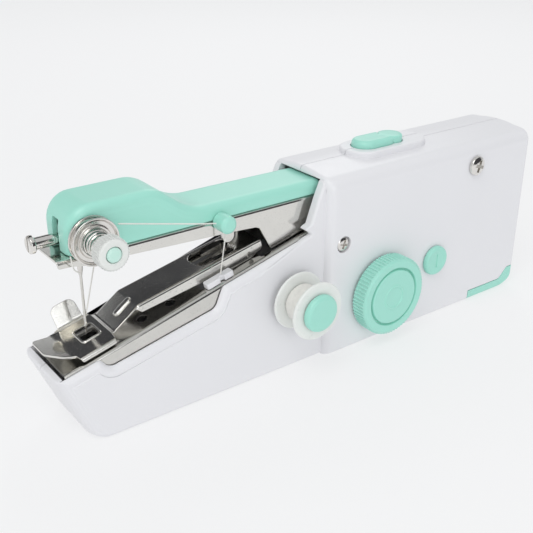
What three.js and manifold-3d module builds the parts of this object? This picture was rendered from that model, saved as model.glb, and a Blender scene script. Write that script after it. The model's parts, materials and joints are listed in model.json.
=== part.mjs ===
// Hand-held sewing machine: a battery powered chain stitch machine, in millimetres, +Z up.
// While it is being laid out, X = 0 is the front face of the motor body and +X points to the
// battery end, Y = 0 is the parting plane of the two housing halves, the handwheel is on the
// -Y side, and Z = 0 is the bottom. The last lines move the origin to the bottom centre.
import * as THREE from 'three';
import { mergeVertices } from 'three/addons/utils/BufferGeometryUtils.js';
import Module from 'manifold-3d';

const wasm = await Module();
wasm.setup();

// ---------------------------------------------------------------- driving dimensions

// Clearances
const gap = 0.3;
const seamGap = 0.2;

// Motor body
const bodyLength = 107.5;
const bodyHeight = 69;
const bodyWidth = 34.2;
const crown = 1.5;
const wall = 2;
const topEdgeRadius = 5;
const bottomEdgeRadius = 1.5;
const frontEdgeRadius = 3.5;
const rearEdgeRadius = 2;
const rearBottomRadius = 9;

// Base under the bed, from the body's front face to the nose
const baseWidth = 28.8;
const noseReach = 102.7;
const noseHeight = 25;
const noseFoot = 92.5;
const noseFootRadius = 6;
const noseEdgeRadius = 5;

// Bed: a sloping steel channel let into the top of the base
const bedFrontX = -99.3;
const bedFrontZ = 25.8;
const bedTilt = THREE.MathUtils.degToRad(14.35);
const bedSheet = 1;
const bedLength = 110.5;
const bedFlangeDepth = 8.5;
const bedTabDepth = 12.5;
const bedTabStart = 92;
const bedHoles = [31.4, 42.2];
const bedHoleOffset = 5.5;
const bedHoleRadius = 1.9;
const armSlotStart = 77.7;

// Window in the near and far walls that shows the bed's flange
const windowStart = 11.7;
const windowEnd = 58.9;
const windowDepthFront = 4.8;
const windowDepthRear = 6.4;

// Arm and its opening in the body
const openingHalfWidth = 11;
const openingClearance = 0.9;
const armPivotX = 4;
const armPivotZ = 49;
const armPivotRadius = 1.5;
const armSheet = 1;
const armPlateOuter = 9;
const armDeckTop = 62.3;
const armFrontX = -96.9;
const coverHalfWidth = 9.3;
const coverWall = 1.8;
const coverFrontX = -92.6;
const coverRearX = 2;
const coverRearTop = 67.4;
const coverHeadTop = 77.5;
const slotHalfWidth = 2.1;
const slotTop = 72.3;
const tailPinX = 17;
const tailPinZ = 48;
const tailPinRadius = 1.5;

// Needle and its clamp
const needleX = -86;
const needleTipZ = 30;
const needleRadius = 0.45;
const shankRadius = 0.9;
const clampHalf = 3;
const clampBottom = 62.8;
const clampTop = 70;
const clampScrewZ = 65.8;
const clampScrewRadius = 1.7;
const clampHeadRadius = 2.85;
const clampHeadThickness = 1.8;
const clampHeadX = -99.6;
const screwSlotHalf = 0.35;

// Thread tension
const tensionX = -85.6;
const tensionZ = 67.2;
const tensionDiscRadius = 7.5;
const tensionPostRadius = 2.3;
const postRootRadius = 1.3;
const knobInsertRadius = 2.3;
const tensionKnobRadius = 5.1;
const tensionKnobFace = 24;
const tensionKnobLength = 4.6;
const tensionKnobRidges = 30;

// Thread guide peg on the arm
const pegX = -40.5;
const pegZ = 62.1;
const pegRadius = 3;
const pegReach = 15.4;
const pegRootRadius = 1.5;
const pegRootRise = 2.6;
const pegHoleY = -12.6;

// Presser foot and bar
const footTop = 2.8;
const footSheet = 0.8;
const footStart = 7.3;
const footEnd = 19.2;
const footNear = -11.5;
const footFar = 8.3;
const barHalfWidth = 7;
const barStart = 31;
const barEnd = 81;
const barTopStart = 6.2;
const barTopEnd = 4.7;
const presserPinU = 74.5;
const presserPinW = 1.6;
const presserPinRadius = 1;

// Looper
const looperShaftY = 5;
const looperShaftW = -5.5;
const looperShaftRadius = 1.4;

// Drive train
const gearModule = 0.6;
const mainTeeth = 42;
const idlerSmallTeeth = 12;
const idlerLargeTeeth = 36;
const pinionTeeth = 10;
const crankX = 27;
const crankZ = 20;
const shaftRadius = 2;
const idlerDirection = THREE.MathUtils.degToRad(22);
const motorDirection = THREE.MathUtils.degToRad(54);
const gearFaceWidth = 4;
const gearPlaneY = -12;
const largeIdlerY = -7;
const eccentricThrow = 1.02;
const eccentricAngle = THREE.MathUtils.degToRad(-20);
const eccentricRadius = 5;
const eccentricY = -3.2;
const rodThickness = 3;
const motorRadius = 10;
const motorLength = 17.5;

// Handwheel
const wheelRadius = 15.6;
const wheelThickness = 6.5;
const wheelFace = 24.5;
const wheelRidges = 64;
const wheelGrooveRadius = 11.1;

// Bobbin
const bobbinX = -13.7;
const bobbinZ = 28.4;
const bobbinFlangeRadius = 10.6;
const bobbinFlange = 1.2;
const bobbinFront = 28.5;
const bobbinWidth = 11.5;
const bobbinHubRadius = 3.8;
const spindleRadius = 2.6;
const threadPackRadius = 7.6;
const capRadius = 6.8;
const capThickness = 2.2;

// Switch on the top
const rimStart = 21;
const rimEnd = 59;
const rimRadius = 8.5;
const rimHeight = 1.8;
const buttonStart = 25.7;
const buttonHalfWidth = 5.1;
const buttonProud = 2.7;
const buttonStemRadius = 2;
const buttonStem = 2.2;
const buttonTravelSpace = 2.8;
const lockX = 43.2;
const lockRadius = 4.8;

// Adapter socket
const adapterX = 55.1;
const adapterZ = 25.2;
const adapterPlugRadius = 6;
const adapterPinRadius = 2.4;

// Housing screws
const rearScrewX = 74.7;
const rearScrewZ = 60.4;
const rearScrewHead = 4;
const frontScrewX = 7.2;
const frontScrewZ = 43.9;
const frontScrewHead = 2.8;

// Batteries and their cover
const cellRadius = 7.1;
const cellLength = 50.5;
const cellNub = 0.8;
const cellNubRadius = 2.6;
const cellPitch = 14.5;
const contactSheet = 0.5;
const springHeight = 3.8;
const springFoot = 3.2;
const springTaper = 1.6;
const springWire = 0.35;
const springTurns = 2.5;
const coverStart = 79;
const coverStrip = 4;
const coverRearHeight = 8.5;
const coverTongue = 2.4;
const railHalf = 0.6;

// Thread
const threadRadius = 0.25;

// ---------------------------------------------------------------- values that follow

const halfBody = bodyWidth / 2;
const halfBase = baseWidth / 2;
const bedHalfWidth = halfBase - wall - gap;
const baseInner = halfBase - wall;
const bodyInner = halfBody - wall;
const shellReach = bodyHeight + 10;
const bodyInnerRear = bodyLength - wall;
const openingTop = coverRearTop + openingClearance;
const rimTop = bodyHeight + crown + rimHeight;
const buttonTop = rimTop + buttonProud;
const contactTop = wall + gap + contactSheet;
const cornerRadius = rearBottomRadius - wall;
const cornerHeight = wall + cornerRadius - contactTop;
const cornerDepth = cornerRadius - Math.sqrt(cornerRadius ** 2 - cornerHeight ** 2);
const cellInset = Math.max(gap + cellRadius, springFoot + springWire + cornerDepth);
const cellX = [0, 1].map((i) => bodyInnerRear - cellInset - i * cellPitch);
const cellY = cellRadius + gap / 2 + 0.05;
const boxStart = cellX[1] - cellRadius - gap;
const cellBottom = contactTop + springHeight + 2 * gap;
const cellTop = cellBottom + cellLength;
const idlerReach = (mainTeeth + idlerSmallTeeth) * gearModule / 2 + 0.1;
const idlerX = crankX + idlerReach * Math.cos(idlerDirection);
const idlerZ = crankZ + idlerReach * Math.sin(idlerDirection);
const motorReach = (idlerLargeTeeth + pinionTeeth) * gearModule / 2 + 0.1;
const motorX = idlerX + motorReach * Math.cos(motorDirection);
const motorZ = idlerZ + motorReach * Math.sin(motorDirection);
const eccentricX = crankX + eccentricThrow * Math.cos(eccentricAngle);
const eccentricZ = crankZ + eccentricThrow * Math.sin(eccentricAngle);
const bobbinBack = bobbinFront - bobbinWidth;
const armPlateInner = armPlateOuter - armSheet;

// ---------------------------------------------------------------- materials

function material(color, roughness, metalness) {
  return new THREE.MeshStandardMaterial({ color, roughness, metalness });
}

const white = material(0xe9e9ec, 0.38, 0);
const mint = material(0x8fd9c2, 0.36, 0);
const frosted = material(0xe4eee8, 0.3, 0);
const steel = material(0xb9b8b4, 0.18, 1);
const chrome = material(0xd8d6d2, 0.1, 1);
const brass = material(0xb99a4e, 0.3, 1);
const nylon = material(0xf2f0e6, 0.5, 0);
const black = material(0x1c1d20, 0.5, 0);
const foil = material(0x3d6f63, 0.35, 0);
const yarn = material(0xf0efeb, 0.8, 0);

// ---------------------------------------------------------------- solids

// A closed three.js geometry as a solid, with its faces turned outwards.
function solid(source) {
  const bare = source.index ? source.toNonIndexed() : source.clone();
  bare.deleteAttribute('normal');
  bare.deleteAttribute('uv');
  const merged = mergeVertices(bare, 1e-4);
  const vertProperties = new Float32Array(merged.attributes.position.array);
  const triVerts = new Uint32Array(merged.index.array);
  const corners = [new THREE.Vector3(), new THREE.Vector3(), new THREE.Vector3()];
  let volume = 0;
  for (let i = 0; i < triVerts.length; i += 3) {
    corners.forEach((corner, k) => corner.fromArray(vertProperties, 3 * triVerts[i + k]));
    volume += corners[0].dot(corners[1].clone().cross(corners[2]));
  }
  if (volume < 0) {
    triVerts.reverse();
  }
  return new wasm.Manifold(new wasm.Mesh({ numProp: 3, vertProperties, triVerts }));
}

// The triangles of a solid as a three.js geometry.
function geometryOf(body) {
  const { vertProperties, triVerts, numProp } = body.getMesh();
  const positions = new Float32Array((vertProperties.length / numProp) * 3);
  for (let i = 0; i < positions.length / 3; i += 1) {
    positions.set(vertProperties.subarray(i * numProp, i * numProp + 3), i * 3);
  }
  const result = new THREE.BufferGeometry();
  result.setAttribute('position', new THREE.BufferAttribute(positions, 3));
  result.setIndex(new THREE.BufferAttribute(triVerts, 1));
  return result;
}

function union(...bodies) {
  return bodies.reduce((whole, next) => whole.add(next));
}

// A closed outline from [x, y] or [x, y, radius] corners.
function outline(corners) {
  const shape = new THREE.Shape();
  const count = corners.length;
  corners.forEach(([x, y, radius = 0], i) => {
    const corner = new THREE.Vector2(x, y);
    if (radius > 0) {
      const before = new THREE.Vector2(...corners[(i + count - 1) % count]).sub(corner).normalize();
      const after = new THREE.Vector2(...corners[(i + 1) % count]).sub(corner).normalize();
      const half = Math.acos(THREE.MathUtils.clamp(before.dot(after), -1, 1)) / 2;
      const middle = before.clone().add(after).normalize().multiplyScalar(radius / Math.sin(half));
      const centre = corner.clone().add(middle);
      const start = corner.clone().addScaledVector(before, radius / Math.tan(half));
      const end = corner.clone().addScaledVector(after, radius / Math.tan(half));
      const from = Math.atan2(start.y - centre.y, start.x - centre.x);
      const to = Math.atan2(end.y - centre.y, end.x - centre.x);
      const clockwise = before.x * after.y - before.y * after.x > 0;
      if (i === 0) {
        shape.moveTo(start.x, start.y);
      } else {
        shape.lineTo(start.x, start.y);
      }
      shape.absarc(centre.x, centre.y, radius, from, to, clockwise);
    } else if (i === 0) {
      shape.moveTo(x, y);
    } else {
      shape.lineTo(x, y);
    }
  });
  return shape;
}

function circle(x, y, radius) {
  const shape = new THREE.Shape();
  shape.absarc(x, y, radius, 0, 2 * Math.PI, false);
  return shape;
}

// A slot with round ends between two centres on one horizontal line.
function stadium(x0, x1, y, radius) {
  const shape = new THREE.Shape();
  shape.absarc(x1, y, radius, -Math.PI / 2, Math.PI / 2, false);
  shape.absarc(x0, y, radius, Math.PI / 2, 1.5 * Math.PI, false);
  return shape;
}

function extrude(shape, depth, segments) {
  return new THREE.ExtrudeGeometry(shape, { depth, bevelEnabled: false, curveSegments: segments });
}

// Prisms: an (x, z) outline along Y, a (y, z) outline along X, an (x, y) outline along Z.
function prismY(shape, y0, y1, segments = 3) {
  return solid(extrude(shape, y1 - y0, segments).rotateX(Math.PI / 2).translate(0, y1, 0));
}

function prismX(shape, x0, x1, segments = 3) {
  const turn = new THREE.Matrix4().set(0, 0, 1, x0, 1, 0, 0, 0, 0, 1, 0, 0, 0, 0, 0, 1);
  return solid(extrude(shape, x1 - x0, segments).applyMatrix4(turn));
}

function prismZ(shape, z0, z1, segments = 3) {
  return solid(extrude(shape, z1 - z0, segments).translate(0, 0, z0));
}

function block(x0, x1, y0, y1, z0, z1) {
  const box = new THREE.BoxGeometry(x1 - x0, y1 - y0, z1 - z0);
  return solid(box.translate((x0 + x1) / 2, (y0 + y1) / 2, (z0 + z1) / 2));
}

function rodY(radius, y0, y1, x, z, sides = 20) {
  const rod = new THREE.CylinderGeometry(radius, radius, y1 - y0, sides);
  return solid(rod.translate(x, (y0 + y1) / 2, z));
}

function rodX(radius, x0, x1, y, z, sides = 16) {
  const rod = new THREE.CylinderGeometry(radius, radius, x1 - x0, sides).rotateZ(Math.PI / 2);
  return solid(rod.translate((x0 + x1) / 2, y, z));
}

function rodZ(radius, z0, z1, x, y, sides = 20) {
  const rod = new THREE.CylinderGeometry(radius, radius, z1 - z0, sides).rotateX(Math.PI / 2);
  return solid(rod.translate(x, y, (z0 + z1) / 2));
}

// A profile of [radius, y] points turned about a line along Y through (x, z).
function turned(profile, x, z, sides = 28) {
  const points = profile.map(([radius, y]) => new THREE.Vector2(radius, y));
  return solid(new THREE.LatheGeometry(points, sides).translate(x, 0, z));
}

// A round thread along a list of points.
function strand(points, steps) {
  const path = new THREE.CatmullRomCurve3(points.map((point) => new THREE.Vector3(...point)));
  const options = { steps, extrudePath: path, bevelEnabled: false, curveSegments: 4 };
  return solid(new THREE.ExtrudeGeometry(circle(0, 0, threadRadius), options));
}

// ---------------------------------------------------------------- the bed's own axes

// Point at u along the bed from its front edge and w above its top face, as [x, z].
function onBed(u, w) {
  const x = bedFrontX + u * Math.cos(bedTilt) - w * Math.sin(bedTilt);
  const z = bedFrontZ + u * Math.sin(bedTilt) + w * Math.cos(bedTilt);
  return [x, z];
}

// ---------------------------------------------------------------- groups

const layout = new THREE.Group();
const bedGroup = new THREE.Group();
bedGroup.position.set(bedFrontX, 0, bedFrontZ);
bedGroup.rotation.y = -bedTilt;
layout.add(bedGroup);

function add(name, body, look, parent = layout) {
  const mesh = new THREE.Mesh(geometryOf(body), look);
  mesh.name = name;
  parent.add(mesh);
}

// ---------------------------------------------------------------- housing

// Cross section of the motor body: rounded top edges and a slightly crowned top.
function bodySection(inset) {
  const half = halfBody - inset;
  const top = bodyHeight - inset;
  const radius = topEdgeRadius - inset;
  const shape = new THREE.Shape();
  shape.moveTo(-half + bottomEdgeRadius, inset);
  shape.lineTo(half - bottomEdgeRadius, inset);
  shape.lineTo(half, inset + bottomEdgeRadius);
  shape.absarc(half - radius, top - radius, radius, 0, Math.PI / 2, false);
  shape.quadraticCurveTo(0, top + 2 * crown, radius - half, top);
  shape.absarc(radius - half, top - radius, radius, Math.PI / 2, Math.PI, false);
  shape.lineTo(-half, inset + bottomEdgeRadius);
  return shape;
}

// Side view of the whole housing, with the window over the bed's flange.
function sideOutline() {
  const rim = -gap;
  return outline([
    [bodyLength, 0, rearBottomRadius],
    [bodyLength, shellReach],
    [1.2, shellReach],
    [1.2, bodyHeight + crown + 2],
    [-0.3, openingTop],
    [-6.1, 53.6],
    [-8.7, 52.5],
    [-5.5, 50.2],
    onBed(92.2, rim),
    [...onBed(windowEnd, rim), 1],
    [...onBed(windowEnd - 4.9, -windowDepthRear), 3],
    [...onBed(windowStart + 2.2, -windowDepthFront), 3],
    [...onBed(windowStart, rim), 1],
    onBed(-1.2, rim),
    [-noseReach, noseHeight, 1],
    [-noseFoot, 0, noseFootRadius],
  ]);
}

// Plan view of the whole housing: the narrow base with a round nose and the wider body.
function planOutline() {
  return outline([
    [bodyLength, -halfBody, rearEdgeRadius],
    [bodyLength, halfBody, rearEdgeRadius],
    [0, halfBody, frontEdgeRadius - 0.9],
    [0, halfBase],
    [-noseReach - 1, halfBase, noseEdgeRadius],
    [-noseReach - 1, -halfBase, noseEdgeRadius],
    [0, -halfBase],
    [0, -halfBody, frontEdgeRadius - 0.9],
  ]);
}

// Everything that the two halves leave empty.
function housingHollow() {
  const lean = (noseReach - noseFoot) / noseHeight;
  const body = prismX(bodySection(wall), wall, bodyInnerRear);
  const rear = prismY(
    outline([
      [bodyInnerRear, wall, rearBottomRadius - wall],
      [bodyInnerRear, shellReach],
      [wall, shellReach],
      [wall, wall],
    ]),
    -bodyInner,
    bodyInner,
  );
  const under = prismY(
    outline([
      [wall + 1, wall],
      [wall + 1, onBed(bedLength, 2)[1]],
      onBed(0, 2),
      onBed(-1.2, -gap),
      [-noseFoot - lean * noseHeight * 0.9 + 2.4, noseHeight * 0.9],
      [-noseFoot - lean * wall + 2.4, wall, noseFootRadius - wall],
    ]),
    -baseInner,
    baseInner,
  );
  const tunnel = block(-15, wall + 1, -openingHalfWidth, openingHalfWidth, 45, openingTop);
  return union(body.intersect(rear), under, tunnel);
}

function switchOpening(clearance) {
  const pad = stadium(
    buttonStart + buttonHalfWidth,
    lockX - lockRadius,
    0,
    buttonHalfWidth + clearance,
  );
  const round = circle(lockX, 0, lockRadius + clearance);
  const low = bodyHeight - 4;
  return union(prismZ(pad, low, shellReach, 8), prismZ(round, low, shellReach, 10));
}

// The part of the shell that the battery cover takes, grown by a clearance.
function coverRegion(clearance) {
  const strip = prismY(
    outline([
      [coverStart - clearance, -1],
      [bodyLength + 1, -1],
      [bodyLength + 1, coverRearHeight + clearance],
      [bodyLength - 4.5, coverRearHeight + clearance, 2],
      [bodyLength - 9, coverStrip + clearance, 3],
      [coverStart - clearance, coverStrip + clearance],
    ]),
    -halfBody - 1,
    halfBody + 1,
  );
  const tongue = block(
    coverStart - coverTongue - clearance,
    coverStart + 1,
    -bodyInner + gap - clearance,
    bodyInner - gap + clearance,
    -1,
    wall + clearance,
  );
  return union(strip, tongue);
}

// A boss along Y with its bore; both are given as where they start and end.
function bossY([x, z], radius, [y0, y1], bore, [from, to]) {
  return { add: rodY(radius, y0, y1, x, z, 16), cut: rodY(bore, from, to, x, z, 16) };
}

function makeHousing() {
  const outer = prismX(bodySection(0), -noseReach - 1, bodyLength + 1)
    .intersect(prismY(sideOutline(), -halfBody - 1, halfBody + 1))
    .intersect(prismZ(planOutline(), -1, shellReach + 1, 4));
  const rim = prismZ(
    stadium(rimStart + rimRadius, rimEnd - rimRadius, 0, rimRadius),
    bodyHeight - 1,
    rimTop,
    6,
  );
  const shelf = cellTop + contactSheet + 2 * gap;
  const ribs = union(
    block(boxStart - wall, boxStart, -bodyInner - 0.5, bodyInner + 0.5, wall / 2, rearScrewZ),
    block(boxStart - 1, bodyInnerRear + 0.5, -bodyInner - 0.5, bodyInner + 0.5, shelf, shelf + 1.5),
  );
  const shell = outer.add(rim).subtract(housingHollow()).add(ribs);

  // The bosses run half a millimetre into the wall they stand on.
  const nearRoot = -bodyInner - 0.5;
  const farRoot = bodyInner + 0.5;
  const nearFace = -halfBody - 1;
  const nearBlind = 0.5 - halfBody;
  const gearSide = gearPlaneY - gap;
  const bedSide = -bedHalfWidth - gap;
  const crankFar = eccentricY + 15.5;
  const crank = [crankX, crankZ];
  const rearScrew = [rearScrewX, rearScrewZ];
  const frontScrew = [frontScrewX, frontScrewZ];
  const bosses = [
    bossY(rearScrew, 3.6, [nearRoot, 0.5], 1.8, [nearFace, 0.5]),
    bossY(rearScrew, 3.6, [-0.5, farRoot], 1.4, [-1.5, bodyInner]),
    bossY(frontScrew, 4, [nearRoot, bedSide], 1.7, [nearFace, bedSide + 1]),
    bossY([idlerX, idlerZ], 3.4, [nearRoot, gearSide], 1.8, [nearBlind, gearSide + 1]),
    bossY(crank, 5, [nearRoot, gearSide], shaftRadius + gap, [nearBlind, gearSide + 1]),
    bossY(crank, 5, [crankFar, farRoot], shaftRadius + gap, [crankFar - 1, bodyInner]),
  ];
  const inside = outer.subtract(block(-2 * noseReach, 2, -50, 50, -1, frontScrewZ - 4.5));
  const bossSolids = union(...bosses.map((boss) => boss.add)).intersect(inside);
  const through = [
    rodY(shaftRadius + 0.6, nearFace, -bodyInner + 0.5, crankX, crankZ),
    rodY(frontScrewHead + gap, nearFace, -bodyInner - 0.2, frontScrewX, frontScrewZ),
    rodY(adapterPinRadius + 0.6, nearFace, -bodyInner + 0.5, adapterX, adapterZ),
    rodY(spindleRadius + gap, -halfBase - 1, -baseInner + 0.5, bobbinX, bobbinZ),
    switchOpening(gap + 0.05),
    coverRegion(gap),
  ];
  const whole = union(shell, bossSolids)
    .subtract(union(...bosses.map((boss) => boss.cut)))
    .subtract(union(...through));
  const nearSide = block(-200, 200, -50, -seamGap / 2, -50, 150);
  const farSide = block(-200, 200, seamGap / 2, 50, -50, 150);
  add('housing_near', whole.intersect(nearSide), white);
  add('housing_far', whole.intersect(farSide), white);

  const tray = outer.intersect(coverRegion(0)).subtract(housingHollow());
  const rails = [-1, 1].map((side) => {
    const y = side * (bodyInner - gap - railHalf);
    return block(coverStart + 1, bodyInnerRear - 12, y - railHalf, y + railHalf, wall / 2, 2 * wall);
  });
  add('battery_cover', tray.add(union(...rails).intersect(outer)), mint);
}

// A pan head screw along Y with a crossed recess; its head's face is at y = -face.
function screwY(headRadius, headHeight, shankRadius, face, tip, x, z) {
  const head = turned(
    [
      [0, -face],
      [headRadius * 0.55, -face + headHeight * 0.1],
      [headRadius * 0.9, -face + headHeight * 0.5],
      [headRadius, -face + headHeight],
      [0, -face + headHeight],
    ],
    x,
    z,
    20,
  );
  const shank = rodY(shankRadius, -face + headHeight - 0.1, tip, x, z, 12);
  const arm = headRadius * 0.62;
  const half = headRadius * 0.14;
  const depth = -face + headHeight * 0.75;
  const recess = union(
    block(x - arm, x + arm, -face - 1, depth, z - half, z + half),
    block(x - half, x + half, -face - 1, depth, z - arm, z + arm),
  );
  return union(head, shank).subtract(recess);
}

function makeHousingScrews() {
  const rear = screwY(rearScrewHead, 1.8, 1.3, halfBody + 2, 9, rearScrewX, rearScrewZ);
  add('housing_screw_rear', rear, chrome);
  const frontFace = halfBody - 0.1;
  const tip = -bedHalfWidth + bedSheet + 1;
  const front = screwY(frontScrewHead, 1.2, 1.3, frontFace, tip, frontScrewX, frontScrewZ);
  add('housing_screw_front', front, chrome);
}

// ---------------------------------------------------------------- batteries

function makeBatteries() {
  const middle = cellBottom + cellLength / 2;
  let number = 1;
  for (const x of cellX) {
    for (const side of [-1, 1]) {
      const y = side * cellY;
      const can = rodZ(cellRadius, cellBottom + cellNub, cellTop - cellNub, x, y, 20);
      const nub = rodZ(cellNubRadius, cellBottom, cellTop, x, y, 12);
      const recess = rodZ(cellRadius + 2, cellBottom - 2, cellBottom + 0.5, x, y, 12);
      const upright = union(can, nub).subtract(recess);
      const turnedOver = upright.mirror([0, 0, 1]).translate([0, 0, 2 * middle]);
      add(`battery_${number}`, number % 2 === 1 ? upright : turnedOver, foil);
      const spring = solid(batterySpring().translate(x, y, contactTop + gap));
      add(`battery_spring_${number}`, spring, chrome);
      number += 1;
    }
  }
  const plateHalf = 3.6;
  for (const [end, y] of [['near', -cellY], ['far', cellY]]) {
    const [low, high] = [y - plateHalf, y + plateHalf];
    const plate = block(cellX[1] - 4, cellX[0] + 2, low, high, wall + gap, contactTop);
    add(`cover_contact_${end}`, plate, chrome);
  }
  const reach = cellRadius + 4;
  const topStart = cellTop + gap;
  const top = block(cellX[1] - 4, cellX[0] + 4, -reach, reach, topStart, topStart + contactSheet);
  add('top_contact', top, chrome);
}

// A conical contact spring, wide at the cover's plate and narrow at the cell.
function batterySpring() {
  const stepsPerTurn = 8;
  const steps = springTurns * stepsPerTurn;
  const points = [];
  for (let i = 0; i <= steps; i += 1) {
    const angle = (2 * Math.PI * i) / stepsPerTurn;
    const radius = springFoot - (springTaper * i) / steps;
    const rise = springWire + ((springHeight - 2 * springWire) * i) / steps;
    points.push(new THREE.Vector3(radius * Math.cos(angle), radius * Math.sin(angle), rise));
  }
  const path = new THREE.CatmullRomCurve3(points);
  const options = { steps, extrudePath: path, bevelEnabled: false, curveSegments: 2 };
  return new THREE.ExtrudeGeometry(circle(0, 0, springWire), options);
}

// ---------------------------------------------------------------- drive train

// A spur gear outline with straight-sided teeth that run with backlash.
function gearOutline(teeth, x, z, phase) {
  const pitch = teeth * gearModule / 2;
  const tip = pitch + 0.78 * gearModule;
  const root = pitch - 1.15 * gearModule;
  const step = (2 * Math.PI) / teeth;
  const profile = [
    [root, -0.28],
    [tip, -0.1],
    [tip, 0.1],
    [root, 0.28],
  ];
  const corners = [];
  for (let i = 0; i < teeth; i += 1) {
    for (const [radius, share] of profile) {
      const angle = phase + (i + share) * step;
      corners.push([x + radius * Math.cos(angle), z + radius * Math.sin(angle)]);
    }
  }
  return outline(corners);
}

function makeDrive() {
  const mainBack = gearPlaneY + gearFaceWidth;
  const bore = rodY(shaftRadius + gap, -30, 30, crankX, crankZ, 16);
  const mainGear = prismY(gearOutline(mainTeeth, crankX, crankZ, idlerDirection), gearPlaneY, mainBack);
  const lightening = [0, 1, 2, 3, 4].map((i) => {
    const angle = idlerDirection + (2 * Math.PI * (i + 0.5)) / 5;
    return rodY(2.4, -30, 30, crankX + 7.6 * Math.cos(angle), crankZ + 7.6 * Math.sin(angle), 8);
  });
  add('main_gear', mainGear.subtract(union(bore, ...lightening)), nylon);

  const shaftEnd = bodyInner - 0.7;
  add('crankshaft', rodY(shaftRadius, -wheelFace + 2.3, shaftEnd, crankX, crankZ, 16), steel);

  const eccentricEnd = eccentricY + rodThickness + 2 * gap;
  const eccentric = rodY(eccentricRadius, eccentricY, eccentricEnd, eccentricX, eccentricZ, 24);
  add('eccentric', eccentric.subtract(bore), nylon);

  const idlerPhase = idlerDirection + Math.PI + Math.PI / idlerSmallTeeth;
  const small = prismY(gearOutline(idlerSmallTeeth, idlerX, idlerZ, idlerPhase), gearPlaneY, mainBack + 0.1);
  const largeEnd = largeIdlerY + 2.7;
  const large = prismY(gearOutline(idlerLargeTeeth, idlerX, idlerZ, motorDirection), largeIdlerY, largeEnd);
  const hub = rodY(2.9, mainBack, largeIdlerY + 0.1, idlerX, idlerZ, 16);
  const idlerBore = rodY(1.8, -30, 30, idlerX, idlerZ, 14);
  add('idler_gear', union(small, hub, large).subtract(idlerBore), nylon);
  add('idler_axle', rodY(1.5, -bodyInner + 0.2, largeEnd + 1, idlerX, idlerZ, 14), steel);

  const pinionPhase = motorDirection + Math.PI + Math.PI / pinionTeeth;
  const pinionEnd = largeEnd + gap;
  const pinion = prismY(gearOutline(pinionTeeth, motorX, motorZ, pinionPhase), largeIdlerY, pinionEnd);
  add('motor_pinion', pinion.subtract(rodY(1.3, -30, 30, motorX, motorZ, 12)), brass);
  const canStart = pinionEnd + 0.8;
  add('motor_shaft', rodY(1, largeIdlerY - 0.2, canStart + 5, motorX, motorZ, 12), steel);
  const can = rodY(motorRadius, canStart, canStart + motorLength, motorX, motorZ, 28);
  const snout = rodY(2.6, canStart - 0.5, canStart + 1, motorX, motorZ, 14);
  const canBore = rodY(1.3, canStart - 2, canStart + 5.5, motorX, motorZ, 12);
  const flat = block(motorX - 30, motorX + 30, -30, 30, motorZ + motorRadius - 1.2, motorZ + 30);
  add('motor_can', union(can, snout).subtract(union(canBore, flat)), steel);
}

// Rod from the eccentric up to the arm's tail pin. The eye is longer and wider than the pin,
// so the arm and the crank can each stand anywhere in their travel.
function makeRod() {
  const y0 = eccentricY + gap;
  const y1 = y0 + rodThickness;
  const eyeHalf = 2 * eccentricThrow + tailPinRadius + gap;
  const eyeWall = 1.8;
  const ring = rodY(eccentricRadius + gap + 2.2, y0, y1, eccentricX, eccentricZ, 28);
  const eye = prismY(
    outline([
      [tailPinX - eyeHalf - eyeWall, tailPinZ - eyeHalf - eyeWall, 3],
      [tailPinX + eyeHalf + eyeWall, tailPinZ - eyeHalf - eyeWall, 3],
      [tailPinX + eyeHalf + eyeWall, tailPinZ + eyeHalf + eyeWall, 3],
      [tailPinX - eyeHalf - eyeWall, tailPinZ + eyeHalf + eyeWall, 3],
    ]),
    y0,
    y1,
  );
  const shank = prismY(
    outline([
      [eccentricX - 4.5, eccentricZ + 4],
      [eccentricX + 2, eccentricZ + 6],
      [tailPinX + 3.4, tailPinZ - eyeHalf],
      [tailPinX - 2.6, tailPinZ - eyeHalf],
    ]),
    y0,
    y1,
  );
  const ringBore = rodY(eccentricRadius + gap, y0 - 1, y1 + 1, eccentricX, eccentricZ, 24);
  const eyeBore = prismY(
    outline([
      [tailPinX - eyeHalf, tailPinZ - eyeHalf, 2],
      [tailPinX + eyeHalf, tailPinZ - eyeHalf, 2],
      [tailPinX + eyeHalf, tailPinZ + eyeHalf, 2],
      [tailPinX - eyeHalf, tailPinZ + eyeHalf, 2],
    ]),
    y0 - 1,
    y1 + 1,
  );
  add('connecting_rod', union(ring, shank, eye).subtract(union(ringBore, eyeBore)), nylon);
}

// Scalloped wheel with a groove and a raised ring on its face.
function makeHandwheel() {
  const corners = [];
  const root = wheelRadius - 0.55;
  for (let i = 0; i < 2 * wheelRidges; i += 1) {
    const angle = (Math.PI * i) / wheelRidges;
    const radius = i % 2 === 0 ? wheelRadius : root;
    corners.push([crankX + radius * Math.cos(angle), crankZ + radius * Math.sin(angle)]);
  }
  const y0 = -wheelFace;
  const back = y0 + wheelThickness;
  const rim = prismY(outline(corners), y0 + 0.6, back);
  const front = turned(
    [
      [0, y0 + 0.3],
      [wheelGrooveRadius - 0.5, y0 + 0.3],
      [wheelGrooveRadius, y0 + 1.1],
      [wheelGrooveRadius + 0.5, y0 + 0.3],
      [root - 1, y0],
      [root, y0 + 0.7],
      [0, y0 + 0.7],
    ],
    crankX,
    crankZ,
    32,
  );
  const groove = turned(
    [
      [wheelGrooveRadius - 0.5, y0 - 1],
      [wheelGrooveRadius + 0.5, y0 - 1],
      [wheelGrooveRadius + 0.5, y0 + 0.8],
      [wheelGrooveRadius, y0 + 1.4],
      [wheelGrooveRadius - 0.5, y0 + 0.8],
      [wheelGrooveRadius - 0.5, y0 - 1],
    ],
    crankX,
    crankZ,
    32,
  );
  const socket = rodY(shaftRadius + gap, y0 + 2, back + 1, crankX, crankZ, 16);
  add('handwheel', union(rim, front).subtract(union(groove, socket)), mint);
}

// ---------------------------------------------------------------- bobbin

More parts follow.
